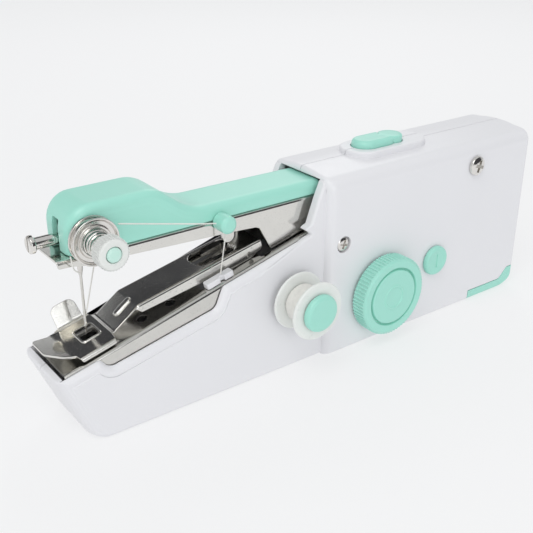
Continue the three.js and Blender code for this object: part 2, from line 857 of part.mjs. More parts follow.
function makeBobbin() {
  const front = -bobbinFront;
  const back = -bobbinBack;
  const bore = spindleRadius + gap;
  const bobbin = turned(
    [
      [bore, front],
      [bobbinFlangeRadius - 0.5, front],
      [bobbinFlangeRadius, front + 0.5],
      [bobbinFlangeRadius, front + bobbinFlange],
      [bobbinHubRadius, front + bobbinFlange + 0.2],
      [bobbinHubRadius, back - bobbinFlange - 0.2],
      [bobbinFlangeRadius, back - bobbinFlange],
      [bobbinFlangeRadius, back],
      [bore, back],
      [bore, front],
    ],
    bobbinX,
    bobbinZ,
    28,
  );
  add('bobbin', bobbin, frosted);
  const packFront = front + bobbinFlange + gap + 0.2;
  const packBack = back - bobbinFlange - gap - 0.2;
  const pack = rodY(threadPackRadius, packFront, packBack, bobbinX, bobbinZ, 28);
  const packBore = rodY(bobbinHubRadius + gap, packFront - 1, packBack + 1, bobbinX, bobbinZ, 20);
  add('bobbin_thread', pack.subtract(packBore), yarn);
  const inside = -baseInner + 2.5;
  add('bobbin_spindle', rodY(spindleRadius, front - 0.2, inside, bobbinX, bobbinZ, 16), steel);
  const capBack = front - gap - 0.2;
  const capFront = capBack - capThickness;
  const cap = turned(
    [
      [0, capFront],
      [capRadius - 1.2, capFront],
      [capRadius - 0.3, capFront + 0.4],
      [capRadius, capFront + 1.2],
      [capRadius, capBack],
      [0, capBack],
    ],
    bobbinX,
    bobbinZ,
    24,
  );
  add('bobbin_cap', cap, mint);
  const springBack = -halfBase - gap;
  const springFront = back + gap;
  const spring = turned(
    [
      [3.4, springFront],
      [4, springFront],
      [7.8, springBack - 0.6],
      [8.4, springBack - 0.6],
      [8.4, springBack],
      [7.4, springBack],
      [3.4, springFront + 0.6],
      [3.4, springFront],
    ],
    bobbinX,
    bobbinZ,
    20,
  );
  add('bobbin_spring', spring, chrome);
}

// ---------------------------------------------------------------- bed

function makeBed() {
  const rear = bedLength;
  const plate = block(0, rear, -bedHalfWidth, bedHalfWidth, -bedSheet, 0);
  const side = outline([
    [2.5, 0],
    [2.5, -bedFlangeDepth + 3, 2],
    [6, -bedFlangeDepth, 2],
    [bedTabStart, -bedFlangeDepth, 2],
    [bedTabStart + 4, -bedTabDepth, 2],
    [rear, -bedTabDepth, 2],
    [rear, 0],
  ]);
  const flanges = union(
    prismY(side, -bedHalfWidth, -bedHalfWidth + bedSheet),
    prismY(side, bedHalfWidth - bedSheet, bedHalfWidth),
  );
  const earHalf = 2;
  const earTop = presserPinW + 1.6;
  const ears = union(
    ...[-1, 1].map((end) => {
      const y = end * 5.1;
      return block(presserPinU - earHalf, presserPinU + earHalf, y - 0.5, y + 0.5, -bedSheet, earTop);
    }),
  );
  const lugs = union(
    ...[21, 52].map((u) => {
      return block(u - 1, u + 1, looperShaftY - 2.6, looperShaftY + 2.6, looperShaftW - 2.6, -0.5);
    }),
  );
  const needleSlot = block(10.2, 17.6, -3, 3, -5, 1);
  const armSlot = block(armSlotStart, rear + 1, -armPlateOuter - 0.7, armPlateOuter + 0.7, -5, 1);
  const leverSlot = block(57, armSlotStart + 1, -4.2, 4.2, -5, 1);
  const round = union(...bedHoles.map((u) => rodZ(bedHoleRadius, -5, 1, u, -bedHoleOffset, 16)));
  const pinBore = rodY(presserPinRadius + gap, -20, 20, presserPinU, presserPinW, 12);
  const looperBore = rodX(looperShaftRadius + gap, 15, 60, looperShaftY, looperShaftW, 14);
  const toBed = new THREE.Matrix4().makeTranslation(bedFrontX, 0, bedFrontZ);
  toBed.multiply(new THREE.Matrix4().makeRotationY(-bedTilt));
  const back = toBed.invert();
  const pivot = new THREE.Vector3(armPivotX, 0, armPivotZ).applyMatrix4(back);
  const screw = new THREE.Vector3(frontScrewX, 0, frontScrewZ).applyMatrix4(back);
  const pivotBore = rodY(armPivotRadius + gap, -20, 20, pivot.x, pivot.z, 16);
  const screwBore = rodY(1.3 + gap, -20, 0, screw.x, screw.z, 14);
  const cuts = union(needleSlot, armSlot, leverSlot, round, pinBore, looperBore, pivotBore, screwBore);
  add('bed_channel', union(plate, flanges, ears, lugs).subtract(cuts), steel, bedGroup);

  const guide = block(54.2, 65, -11.3, -8.3, gap, 2.3)
    .subtract(block(59.4, 61.2, -12, -9.6, 1, 4));
  add('thread_guide_block', guide, white, bedGroup);
}

// ---------------------------------------------------------------- presser foot

function makePresser() {
  const plate = prismZ(
    outline([
      [footStart, footNear, 0.8],
      [footEnd, footNear, 0.8],
      [footEnd, footFar],
      [footStart, footFar],
    ]),
    footTop - footSheet,
    footTop,
  );
  const lip = block(footStart + 0.6, footEnd - 0.6, footNear, footNear + 0.8, footTop - 1.6, footTop);
  const tab = prismY(
    outline([
      [footStart + 1.2, footTop - footSheet],
      [footEnd + 0.6, footTop - footSheet],
      [footEnd - 1.8, footTop + 7.2, 2],
      [footStart + 2, footTop + 7.2, 2],
    ]),
    footFar - footSheet,
    footFar,
  );
  const toe = prismZ(
    outline([
      [-8.7, footFar - 14.2 + 4.4, 1.5],
      [0.4, footNear + 1.6],
      [0.4, footFar - 0.8],
      [-8.7, footFar - 2, 1],
    ]),
    -footSheet,
    0,
  )
    .rotate([0, 15, 0])
    .translate([footStart + 0.2, 0, footTop]);
  const ramp = prismY(
    outline([
      [footEnd - 0.6, footTop - footSheet],
      [footEnd + 1.6, footTop - footSheet],
      [barStart + 0.3, barTopStart - footSheet],
      [barStart + 0.3, barTopStart],
      [footEnd + 1.2, footTop],
      [footEnd - 0.6, footTop],
    ]),
    -barHalfWidth,
    barHalfWidth,
  );
  const deck = prismY(
    outline([
      [barStart, barTopStart - footSheet],
      [barEnd, barTopEnd - footSheet],
      [barEnd, barTopEnd],
      [barStart, barTopStart],
    ]),
    -barHalfWidth,
    barHalfWidth,
  );
  const flange = outline([
    [barStart, barTopStart],
    [barStart + 0.8, barTopStart - 3],
    [presserPinU - 5, 1.1],
    [presserPinU - 1, gap + 0.1],
    [presserPinU + 2, gap + 0.1],
    [barEnd, 0.6, 1],
    [barEnd, barTopEnd],
  ]);
  const flanges = union(
    prismY(flange, -barHalfWidth, -barHalfWidth + footSheet),
    prismY(flange, barHalfWidth - footSheet, barHalfWidth),
  );
  const needleWindow = prismZ(
    outline([
      [11.2, -4.6, 0.8],
      [17, -4.6, 0.8],
      [17, 2.8, 0.8],
      [11.2, 2.8, 0.8],
    ]),
    -5,
    10,
  );
  const oval = prismZ(
    outline([
      [56.3, -5.4, 4],
      [73, -5.4, 4],
      [73, 5.4, 4],
      [56.3, 5.4, 4],
    ]),
    barTopEnd - 2,
    barTopStart + 3,
  );
  const pinBore = rodY(presserPinRadius + gap, -20, 20, presserPinU, presserPinW, 12);
  const sheet = union(plate, lip, tab, toe, ramp, deck, flanges);
  add('presser_foot', sheet.subtract(union(needleWindow, oval, pinBore)), steel, bedGroup);

  const pinEnd = barHalfWidth + 0.6;
  add('presser_pin', rodY(presserPinRadius, -pinEnd, pinEnd, presserPinU, presserPinW, 12), steel, bedGroup);
  const coil = turned(springProfile(presserPinRadius + gap, 0.45, -3.6, 3.6), presserPinU, presserPinW, 12);
  add('presser_spring', coil, chrome, bedGroup);
}

// Wall of a close-wound coil spring between two places on its axis, as a turned profile.
function springProfile(inner, wire, y0, y1) {
  const coils = Math.max(2, Math.floor((y1 - y0) / (2.6 * wire)));
  const pitch = (y1 - y0) / coils;
  const profile = [[inner, y0]];
  for (let i = 0; i < coils; i += 1) {
    profile.push([inner + wire, y0 + i * pitch]);
    profile.push([inner + 2 * wire, y0 + (i + 0.5) * pitch]);
  }
  profile.push([inner + wire, y1]);
  profile.push([inner, y1]);
  profile.push([inner, y0]);
  return profile;
}

// ---------------------------------------------------------------- looper

function makeLooper() {
  const shaft = rodX(looperShaftRadius, 9, 70, looperShaftY, looperShaftW, 14);
  const hook = prismX(
    outline([
      [looperShaftY + 1.5, looperShaftW - 1],
      [looperShaftY + 1.5, looperShaftW + 1.2],
      [0.5, looperShaftW + 2.6],
      [-2.6, looperShaftW + 1.8],
      [0.5, looperShaftW + 1],
    ]),
    9.4,
    11,
  );
  const finger = prismX(
    outline([
      [looperShaftY + 1, looperShaftW - 0.8],
      [looperShaftY + 1, looperShaftW + 1],
      [3.6, looperShaftW + 2],
      [3.6, 1.6],
      [-1, 1.6],
      [-1, 0.7],
      [2.6, 0.7],
      [2.6, looperShaftW + 0.6],
    ]),
    60,
    65,
  );
  add('looper', union(shaft, hook, finger), steel, bedGroup);
}

// ---------------------------------------------------------------- arm

function coverOutline(inset) {
  return outline([
    [coverFrontX + inset, armDeckTop + gap],
    [coverRearX, armDeckTop + gap],
    [coverRearX, coverRearTop - inset],
    [-50, 68 - inset, 10],
    [-63.5, coverHeadTop - inset, 5],
    [-84, coverHeadTop - inset, 5],
    [coverFrontX + inset, coverHeadTop - 6 - inset, 5],
  ]);
}

function makeArm() {
  const side = outline([
    [armFrontX, armDeckTop],
    [armFrontX + 0.6, armDeckTop - 3.2, 1.2],
    [-90, 58.9],
    [-83.5, 57.8, 2],
    [-76, 58.6],
    [-34.6, 56.6],
    [-25.9, 56, 3],
    [-21.4, 50],
    [-18.8, 46.1, 1],
    [-10, 48.2],
    [armPivotX - 4, armPivotZ - 4.2, 2],
    [tailPinX, tailPinZ - 4, 3],
    [tailPinX + 3.6, tailPinZ - 1, 3],
    [tailPinX + 1.6, tailPinZ + 4, 3],
    [armPivotX + 5, armDeckTop, 3],
  ]);
  const plates = union(
    prismY(side, -armPlateOuter, -armPlateInner),
    prismY(side, armPlateInner, armPlateOuter),
  );
  const deck = block(
    armFrontX,
    coverRearX + 2,
    -armPlateOuter,
    armPlateOuter,
    armDeckTop - armSheet,
    armDeckTop,
  );
  const needleHole = rodZ(shankRadius + 0.7, armDeckTop - 3, armDeckTop + 1, needleX, 0, 14);
  const bores = union(
    rodY(armPivotRadius + gap, -20, 20, armPivotX, armPivotZ, 16),
    rodY(tailPinRadius + gap, -20, 20, tailPinX, tailPinZ, 14),
  );
  const ears = union(
    ...[-1, 1].map((end) => {
      const y = end * 4.2;
      const ear = outline([
        [-36.4, armDeckTop - armSheet / 2],
        [-36.4, 51.2, 2.2],
        [-31.8, 51.2, 2.2],
        [-31.8, armDeckTop - armSheet / 2],
      ]);
      return prismY(ear, y - 0.5, y + 0.5);
    }),
  );
  const frame = union(plates, deck, ears).subtract(union(needleHole, bores));
  add('arm_frame', frame, steel);

  const pivotEnd = bedHalfWidth - 0.2;
  const pivotPin = rodY(armPivotRadius, -pivotEnd, pivotEnd, armPivotX, armPivotZ, 16);
  add('arm_pivot_pin', pivotPin, steel);
  const tailPinEnd = armPlateOuter + 0.4;
  add('tail_pin', rodY(tailPinRadius, -tailPinEnd, tailPinEnd, tailPinX, tailPinZ, 14), steel);
}

// Moulded cover over the arm: open underneath, with a slot in its front for the clamp screw.
function makeArmCover() {
  const inside = coverHalfWidth - coverWall;
  const outer = prismY(coverOutline(0), -coverHalfWidth, coverHalfWidth, 5);
  const inner = prismY(coverOutline(coverWall), -inside, inside, 4)
    .subtract(block(coverRearX - coverWall, coverRearX + 1, -20, 20, 0, 100));
  const low = armDeckTop - 1;
  const frontInside = coverFrontX + coverWall;
  const mouth = block(frontInside, coverRearX - coverWall, -inside, inside, low, armDeckTop + 1);
  const slot = block(coverFrontX - 1, coverFrontX + 6, -slotHalfWidth, slotHalfWidth, low, slotTop);
  const bore = (radius, x, z) => rodY(radius + gap, -coverHalfWidth - 1, -inside + 1, x, z, 14);
  const postBore = bore(postRootRadius, tensionX, tensionZ);
  const pegBore = bore(pegRootRadius, pegX, pegZ + pegRootRise);
  add('arm_cover', outer.subtract(union(inner, mouth, slot, postBore, pegBore)), mint);
}

function makeNeedle() {
  const tipLength = 4;
  const profile = [
    [0, needleTipZ],
    [needleRadius, needleTipZ + tipLength],
    [needleRadius, armDeckTop - 10],
    [shankRadius, armDeckTop - 8],
    [shankRadius, clampTop - 1.5],
    [0, clampTop - 1.5],
  ];
  const points = profile.map(([radius, z]) => new THREE.Vector2(radius, z));
  const needle = new THREE.LatheGeometry(points, 12).rotateX(Math.PI / 2).translate(needleX, 0, 0);
  const eyeHalf = 0.18;
  const eyeStart = needleTipZ + tipLength;
  const eye = block(needleX - eyeHalf, needleX + eyeHalf, -2, 2, eyeStart, eyeStart + 1.4);
  add('needle', solid(needle).subtract(eye), chrome);

  const side = [needleX - clampHalf, needleX + clampHalf];
  const clamp = block(...side, -clampHalf, clampHalf, clampBottom, clampTop);
  const needleBore = rodZ(shankRadius + gap, clampBottom - 1, clampTop - 1.2, needleX, 0, 14);
  const screwBore = rodX(clampScrewRadius + gap, needleX - 10, needleX, 0, clampScrewZ, 14);
  add('needle_clamp', clamp.subtract(union(needleBore, screwBore)), chrome);

  const headFace = clampHeadX - clampHeadThickness;
  const head = rodX(clampHeadRadius, headFace, clampHeadX, 0, clampScrewZ, 20);
  const shankEnd = needleX - shankRadius - gap;
  const shank = rodX(clampScrewRadius, clampHeadX - 0.1, shankEnd, 0, clampScrewZ, 14);
  const slot = block(
    headFace - 1,
    headFace + 0.6,
    -clampHeadRadius,
    clampHeadRadius,
    clampScrewZ - screwSlotHalf,
    clampScrewZ + screwSlotHalf,
  );
  add('needle_clamp_screw', union(head, shank).subtract(slot), chrome);
}

function makeTension() {
  const face = -coverHalfWidth;
  const inner = face - gap;
  const bore = tensionPostRadius + gap;
  const disc = (y, sign) => turned(
    [
      [bore, y],
      [tensionDiscRadius - 1.6, y],
      [tensionDiscRadius, y - sign * 0.8],
      [tensionDiscRadius, y - sign * 1.2],
      [tensionDiscRadius - 1.6, y - sign * 0.5],
      [bore, y - sign * 0.5],
      [bore, y],
    ],
    tensionX,
    tensionZ,
    24,
  );
  add('tension_disc_inner', disc(inner - 1.3, -1), chrome);
  add('tension_disc_outer', disc(inner - 2.1, 1), chrome);

  const knobBack = -tensionKnobFace + tensionKnobLength;
  const profile = springProfile(bore, 0.5, knobBack + 0.2 + gap, inner - 3.6);
  add('tension_spring', turned(profile, tensionX, tensionZ, 16), chrome);

  const rod = (radius, y0, y1, sides) => rodY(radius, y0, y1, tensionX, tensionZ, sides);
  const collar = rod(tensionPostRadius, knobBack + 0.3, inner, 18);
  const root = rod(postRootRadius, inner - 0.5, face + coverWall, 14);
  const stud = rod(postRootRadius, -tensionKnobFace + 2, knobBack + 1, 14);
  add('tension_post', union(collar, root, stud), mint);

  const corners = [];
  for (let i = 0; i < 2 * tensionKnobRidges; i += 1) {
    const angle = (Math.PI * i) / tensionKnobRidges;
    const radius = i % 2 === 0 ? tensionKnobRadius : tensionKnobRadius - 0.3;
    corners.push([tensionX + radius * Math.cos(angle), tensionZ + radius * Math.sin(angle)]);
  }
  const knob = prismY(outline(corners), -tensionKnobFace, knobBack);
  const front = -tensionKnobFace - 1;
  const insertHole = rod(knobInsertRadius + gap, front, -tensionKnobFace + 1.4, 20);
  const studHole = rod(postRootRadius + gap, front, knobBack + 1, 14);
  add('tension_knob', knob.subtract(union(insertHole, studHole)), frosted);
  const insert = rod(knobInsertRadius, -tensionKnobFace - 0.3, -tensionKnobFace + 1.1, 20);
  add('tension_knob_insert', insert, mint);
}

function makeGuidePeg() {
  const face = -coverHalfWidth - gap;
  const peg = turned(
    [
      [0, -pegReach],
      [pegRadius - 1, -pegReach],
      [pegRadius, -pegReach + 1],
      [pegRadius, face],
      [0, face],
    ],
    pegX,
    pegZ,
    18,
  );
  const rootEnd = -coverHalfWidth + coverWall - 0.2;
  const root = rodY(pegRootRadius, face - 0.5, rootEnd, pegX, pegZ + pegRootRise, 12)
    .intersect(block(-100, 100, -50, 50, armDeckTop + 2 * gap, 100));
  const hole = rodZ(threadRadius + gap, pegZ - 5, pegZ + 5, pegX, pegHoleY, 10);
  add('thread_guide_peg', union(peg, root).subtract(hole), mint);
}

// ---------------------------------------------------------------- thread

function makeThread() {
  const [guideX, guideZ] = onBed(60.3, 2.4);
  const clear = threadRadius + gap;
  const guideRun = [
    [guideX, -10.4, guideZ + clear],
    [pegX, pegHoleY, pegZ - pegRadius - gap],
  ];
  add('thread_guide_run', strand(guideRun, 4), yarn);
  const betweenDiscs = -coverHalfWidth - gap - 1.7;
  const armRun = [
    [pegX - pegRadius - clear, pegHoleY, pegZ + 0.9],
    [pegX - 12, pegHoleY + 0.4, pegZ + 2.7],
    [tensionX + tensionDiscRadius + clear, betweenDiscs, tensionZ + 3.4],
  ];
  add('thread_arm_run', strand(armRun, 12), yarn);
  const rimLeft = tensionX - tensionDiscRadius - clear + 0.3;
  const beside = needleRadius + clear;
  const eyeZ = needleTipZ + 4.7;
  const needleRun = [
    [rimLeft, betweenDiscs, tensionZ - 3],
    [rimLeft + 0.7, betweenDiscs, armDeckTop - 2.3],
    [needleX - 2.2, -4.6, 54.6],
    [needleX - 0.75, -1.25, 49],
    [needleX - 0.4, -beside, eyeZ],
  ];
  add('thread_needle_run', strand(needleRun, 20), yarn);
  const tail = [
    [needleX + 3.6, -5, armDeckTop - armSheet - clear],
    [needleX + 1.9, -3, 49.9],
    [needleX + 0.2, -beside, 39],
  ];
  add('thread_tail', strand(tail, 8), yarn);
}

// ---------------------------------------------------------------- switch and adapter

function makeSwitch() {
  const low = bodyHeight - wall - 1.2;
  const stemEnd = low - buttonStem;
  const padCentre = buttonStart + buttonHalfWidth;
  const padShape = stadium(padCentre, lockX - lockRadius, 0, buttonHalfWidth);
  const pad = prismZ(padShape, low, buttonTop, 8);
  const lockSpace = prismZ(circle(lockX, 0, lockRadius + gap), low - 1, buttonTop + 1, 10);
  const behind = block(lockX, lockX + 20, -20, 20, low - 1, buttonTop + 1);
  const stem = rodZ(buttonStemRadius, stemEnd, low + 0.5, padCentre + 2, 0, 14);
  add('power_button', union(pad, stem).subtract(union(lockSpace, behind)), mint);
  const round = prismZ(circle(lockX, 0, lockRadius), low, buttonTop - 0.2, 10);
  const lockStem = rodZ(buttonStemRadius, stemEnd, low + 0.5, lockX, 0, 14);
  add('lock_button', union(round, lockStem), mint);
  const bodyTop = stemEnd - buttonTravelSpace;
  const body = block(buttonStart + 2, lockX + 5, -5, 5, bodyTop - 7, bodyTop);
  add('switch_body', body, black);
}

function makeAdapter() {
  const face = -halfBody - gap;
  const plug = turned(
    [
      [0, face - 1.5],
      [adapterPlugRadius - 1.3, face - 1.5],
      [adapterPlugRadius - 0.9, face - 1.9],
      [adapterPlugRadius - 0.4, face - 1.7],
      [adapterPlugRadius, face - 1],
      [adapterPlugRadius, face],
      [adapterPinRadius, face],
      [adapterPinRadius, face + 7],
      [0, face + 7],
    ],
    adapterX,
    adapterZ,
    24,
  );
  const across = [adapterX - 2.6, adapterX + 2.6];
  const grip = block(...across, face - 3, face - 1.2, adapterZ - 0.4, adapterZ + 0.4);
  add('adapter_plug', plug.subtract(grip), mint);
  const back = gearPlaneY + gearFaceWidth - 0.3;
  const sleeve = rodY(5, -bodyInner + gap, back, adapterX, adapterZ, 20);
  const bore = rodY(adapterPinRadius + gap, -30, back - 1.2, adapterX, adapterZ, 16);
  add('adapter_socket', sleeve.subtract(bore), black);
}

// ---------------------------------------------------------------- assembly

makeHousing();
makeHousingScrews();
makeBatteries();
makeDrive();
makeRod();
makeHandwheel();
makeBobbin();
makeBed();
makePresser();
makeLooper();
makeArm();
makeArmCover();
makeNeedle();
makeTension();
makeGuidePeg();
makeThread();
makeSwitch();
makeAdapter();

// Origin at the bottom centre of the whole machine.
const box = new THREE.Box3().setFromObject(layout, true);
const centre = box.getCenter(new THREE.Vector3());
layout.position.set(-centre.x, -centre.y, -box.min.z);
const machine = new THREE.Group();
machine.add(layout);

export default machine;
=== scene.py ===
"""Hand-held sewing machine, laid out as an add-on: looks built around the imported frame.

Shapes are drawn in millimetres on the machine's own axes: X = 0 is the front face of the motor
body and +X runs to the battery end, Y = 0 is the parting plane, Z = 0 is the bottom. settle()
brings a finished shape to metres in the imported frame."""

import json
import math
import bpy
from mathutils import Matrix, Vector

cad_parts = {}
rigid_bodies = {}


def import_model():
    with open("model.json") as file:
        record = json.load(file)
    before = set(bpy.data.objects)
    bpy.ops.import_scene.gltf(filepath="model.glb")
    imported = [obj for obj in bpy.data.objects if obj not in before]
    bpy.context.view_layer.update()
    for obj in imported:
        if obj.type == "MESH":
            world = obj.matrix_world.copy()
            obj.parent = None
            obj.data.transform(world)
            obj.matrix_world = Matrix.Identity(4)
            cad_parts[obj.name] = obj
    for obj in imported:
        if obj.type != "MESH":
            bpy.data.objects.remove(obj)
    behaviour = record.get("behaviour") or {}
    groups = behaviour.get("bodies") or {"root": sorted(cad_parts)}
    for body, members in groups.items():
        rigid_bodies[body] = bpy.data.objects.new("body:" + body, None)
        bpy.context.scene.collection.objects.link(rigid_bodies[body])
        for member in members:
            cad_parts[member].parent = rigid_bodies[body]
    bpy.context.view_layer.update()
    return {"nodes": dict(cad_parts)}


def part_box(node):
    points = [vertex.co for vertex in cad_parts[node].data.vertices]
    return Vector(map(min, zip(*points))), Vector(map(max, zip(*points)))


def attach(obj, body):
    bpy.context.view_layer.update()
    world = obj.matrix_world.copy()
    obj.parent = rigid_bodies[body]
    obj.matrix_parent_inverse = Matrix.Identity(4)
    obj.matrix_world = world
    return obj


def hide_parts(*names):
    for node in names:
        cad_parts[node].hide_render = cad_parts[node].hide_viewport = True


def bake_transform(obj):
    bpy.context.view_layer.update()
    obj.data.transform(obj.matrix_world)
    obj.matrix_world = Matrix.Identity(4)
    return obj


bl_info = {
    "name": "Hand-held sewing machine",
    "version": (1, 0, 0),
    "blender": (4, 5, 0),
    "location": "View3D > Sidebar > Sewing machine",
    "description": "Builds a battery powered hand-held sewing machine around its packed frame",
    "category": "Object",
}

import bmesh
import bpy
from bpy.props import FloatProperty, FloatVectorProperty, IntProperty, PointerProperty
from mathutils import Matrix, Vector

for leftover in list(bpy.data.objects):
    bpy.data.objects.remove(leftover)
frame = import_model()

MM = 0.001
GAP = 0.3

# Motor body, as packed
BODY_LENGTH = 107.5
BODY_HALF = 17.1
BODY_TOP = 69.0
CROWN = 1.5
WALL = 2.0

# Base and bed
BASE_HALF = 14.4
BED_X = -99.3
BED_Z = 25.8
BED_TILT = math.radians(14.35)
BED_HALF = 12.1
BED_LENGTH = 110.5
BED_SHEET = 1.0

# Arm
ARM_DECK = 62.3
ARM_HALF = 9.0
COVER_HALF = 9.3
COVER_WALL = 1.8
SLOT_HALF = 2.1
SLOT_TOP = 72.3
PIVOT = (4.0, 49.0)
TAIL = (17.0, 48.0)

# Needle and tension
NEEDLE_X = -86.0
NEEDLE_TIP = 30.0
TENSION = (-85.6, 67.2)
PEG = (-40.5, 62.1)

# Round pieces on the near side
WHEEL = (27.0, 20.0)
BOBBIN = (-13.7, 28.4)
PLUG = (55.1, 25.2)
REAR_SCREW = (74.7, 60.4)
FRONT_SCREW = (7.2, 43.9)


def origin():
    """Where the machine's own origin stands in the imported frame, from the far housing's box."""
    low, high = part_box("housing_far")
    return Vector((high.x - BODY_LENGTH * MM, high.y - BODY_HALF * MM, low.z))


ORIGIN = origin()


def framed(x, y, z):
    """A point on the machine's axes, in millimetres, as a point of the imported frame."""
    return ORIGIN + Vector((x, y, z)) * MM


def on_bed(u, w):
    """Point at u along the bed and w above its top face, as (x, z)."""
    x = BED_X + u * math.cos(BED_TILT) - w * math.sin(BED_TILT)
    z = BED_Z + u * math.sin(BED_TILT) + w * math.cos(BED_TILT)
    return (x, z)


def bed_point(point):
    """(u, y, w) on the bed as a point on the machine's axes."""
    x, z = on_bed(point[0], point[2])
    return Vector((x, point[1], z))


# ---------------------------------------------------------------- sizes and colours


class MachineSizes(bpy.types.PropertyGroup):
    """Sizes of the finish that a user may change without touching the frame."""

    body_front_edge: FloatProperty(
        name="Front edge radius",
        description="Rounding of the motor body's upright front edges",
        default=3.5 * MM,
        unit="LENGTH",
    )
    body_rear_edge: FloatProperty(
        name="Rear edge radius",
        description="Rounding of the motor body's upright rear edges",
        default=2.0 * MM,
        unit="LENGTH",
    )
    arm_edge: FloatProperty(
        name="Arm edge radius",
        description="Rounding along the arm cover's long edges",
        default=2.5 * MM,
        unit="LENGTH",
    )
    seam_gap: FloatProperty(
        name="Seam",
        description="Width of the line between the two housing halves",
        default=0.26 * MM,
        unit="LENGTH",
    )
    wheel_ridges: IntProperty(
        name="Wheel ridges", description="Grip ridges round the handwheel", default=70
    )
    knob_ridges: IntProperty(
        name="Knob ridges", description="Grip ridges round the tension knob", default=34
    )
    thread_ply: FloatProperty(
        name="Thread radius",
        description="Radius of one of the two plies of the sewing thread",
        default=0.135 * MM,
        unit="LENGTH",
    )
    winding_turns: IntProperty(
        name="Winding turns", description="Turns of thread across the bobbin", default=15
    )


class MachineColours(bpy.types.PropertyGroup):
    """Colours of the machine's plastics, metals and thread."""

    shell: FloatVectorProperty(
        name="Shell", description="Housing plastic", subtype="COLOR",
        default=(0.80, 0.80, 0.825), min=0, max=1,
    )
    accent: FloatVectorProperty(
        name="Accent", description="Arm cover, wheel and buttons", subtype="COLOR",
        default=(0.365, 0.75, 0.64), min=0, max=1,
    )
    frosted: FloatVectorProperty(
        name="Frosted", description="Bobbin and tension knob", subtype="COLOR",
        default=(0.79, 0.81, 0.785), min=0, max=1,
    )
    steel: FloatVectorProperty(
        name="Sheet steel", description="Bed, arm and presser foot", subtype="COLOR",
        default=(0.66, 0.65, 0.62), min=0, max=1,
    )
    bright: FloatVectorProperty(
        name="Bright metal", description="Plated screws, discs and springs", subtype="COLOR",
        default=(0.78, 0.76, 0.73), min=0, max=1,
    )
    yarn: FloatVectorProperty(
        name="Thread", description="Sewing thread", subtype="COLOR",
        default=(0.84, 0.83, 0.79), min=0, max=1,
    )


def sizes():
    return bpy.context.scene.machine_sizes


def colours():
    return bpy.context.scene.machine_colours


# ---------------------------------------------------------------- node graphs


# Sockets of a Mix node when it mixes colours
MIX_FIRST = 6
MIX_SECOND = 7
MIX_RESULT = 2


class Wire:
    """An output socket, with Python's operators for the sums that a pattern needs."""

    def __init__(self, graph, socket):
        self.graph = graph
        self.socket = socket

    def __add__(self, other):
        return self.graph.math("ADD", self, other)

    def __radd__(self, other):
        return self.graph.math("ADD", other, self)

    def __sub__(self, other):
        return self.graph.math("SUBTRACT", self, other)

    def __rsub__(self, other):
        return self.graph.math("SUBTRACT", other, self)

    def __mul__(self, other):
        return self.graph.math("MULTIPLY", self, other)

    def __rmul__(self, other):
        return self.graph.math("MULTIPLY", other, self)


class Graph:
    """A node tree that is written as calls: one method adds any node."""

    def __init__(self, tree):
        self.tree = tree

    def node(self, kind, settings=None, inputs=None, output=0):
        """Adds a node: its settings first, a ramp's stops among them, then its sockets.

        A socket takes a wire or a value, and is named or numbered."""
        made = self.tree.nodes.new(kind)
        for key, value in (settings or {}).items():
            if key == "stops":
                self.set_stops(made.color_ramp, value)
            elif key == "ease":
                made.color_ramp.interpolation = value
            else:
                setattr(made, key, value)
        for key, value in (inputs or {}).items():
            if isinstance(value, Wire):
                self.tree.links.new(value.socket, made.inputs[key])
            else:
                made.inputs[key].default_value = value
        return Wire(self, made.outputs[output]) if len(made.outputs) else made

    @staticmethod
    def set_stops(ramp, stops):
        """Grey or colour stops, as (position, number or colour)."""
        while len(ramp.elements) < len(stops):
            ramp.elements.new(0.5)
        for point, (place, tone) in zip(ramp.elements, stops):
            point.position = place
            grey = isinstance(tone, (int, float))
            point.color = (tone, tone, tone, 1) if grey else (*tone, 1)

    def math(self, operation, first, second):
        return self.node("ShaderNodeMath", {"operation": operation}, {0: first, 1: second})

    def noise(self, where, scale, detail=2.0, roughness=0.5):
        inputs = {"Vector": where, "Scale": scale, "Detail": detail, "Roughness": roughness}
        return self.node("ShaderNodeTexNoise", inputs=inputs, output="Fac")

    def ramp(self, value, stops, ease="LINEAR"):
        settings = {"ease": ease, "stops": stops}
        return self.node("ShaderNodeValToRGB", settings, {"Fac": value}, "Color")

    def blend(self, share, first, second):
        """Colour mix of two colours."""
        tones = [item if isinstance(item, Wire) else (*item, 1) for item in (first, second)]
        sockets = {"Factor": share, MIX_FIRST: tones[0], MIX_SECOND: tones[1]}
        return self.node("ShaderNodeMix", {"data_type": "RGBA"}, sockets, MIX_RESULT)

    def bump(self, height, strength, distance):
        inputs = {"Height": height, "Strength": strength, "Distance": distance}
        return self.node("ShaderNodeBump", inputs=inputs, output="Normal")


def new_material(name):
    """An empty material with its graph and the frame's own coordinates."""
    made = bpy.data.materials.new(name)
    made.use_nodes = True
    made.node_tree.nodes.clear()
    graph = Graph(made.node_tree)
    where = graph.node("ShaderNodeTexCoord", output="Object")
    return made, graph, where


def surface(graph, inputs):
    """The shader and the output of a material."""
    shader = graph.node("ShaderNodeBsdfPrincipled", inputs=inputs)
    graph.node("ShaderNodeOutputMaterial", inputs={"Surface": shader})


def stretched(graph, where, scale):
    return graph.node("ShaderNodeMapping", inputs={"Vector": where, "Scale": scale})


def shade(colour, factor):
    return tuple(min(1.0, channel * factor) for channel in colour)


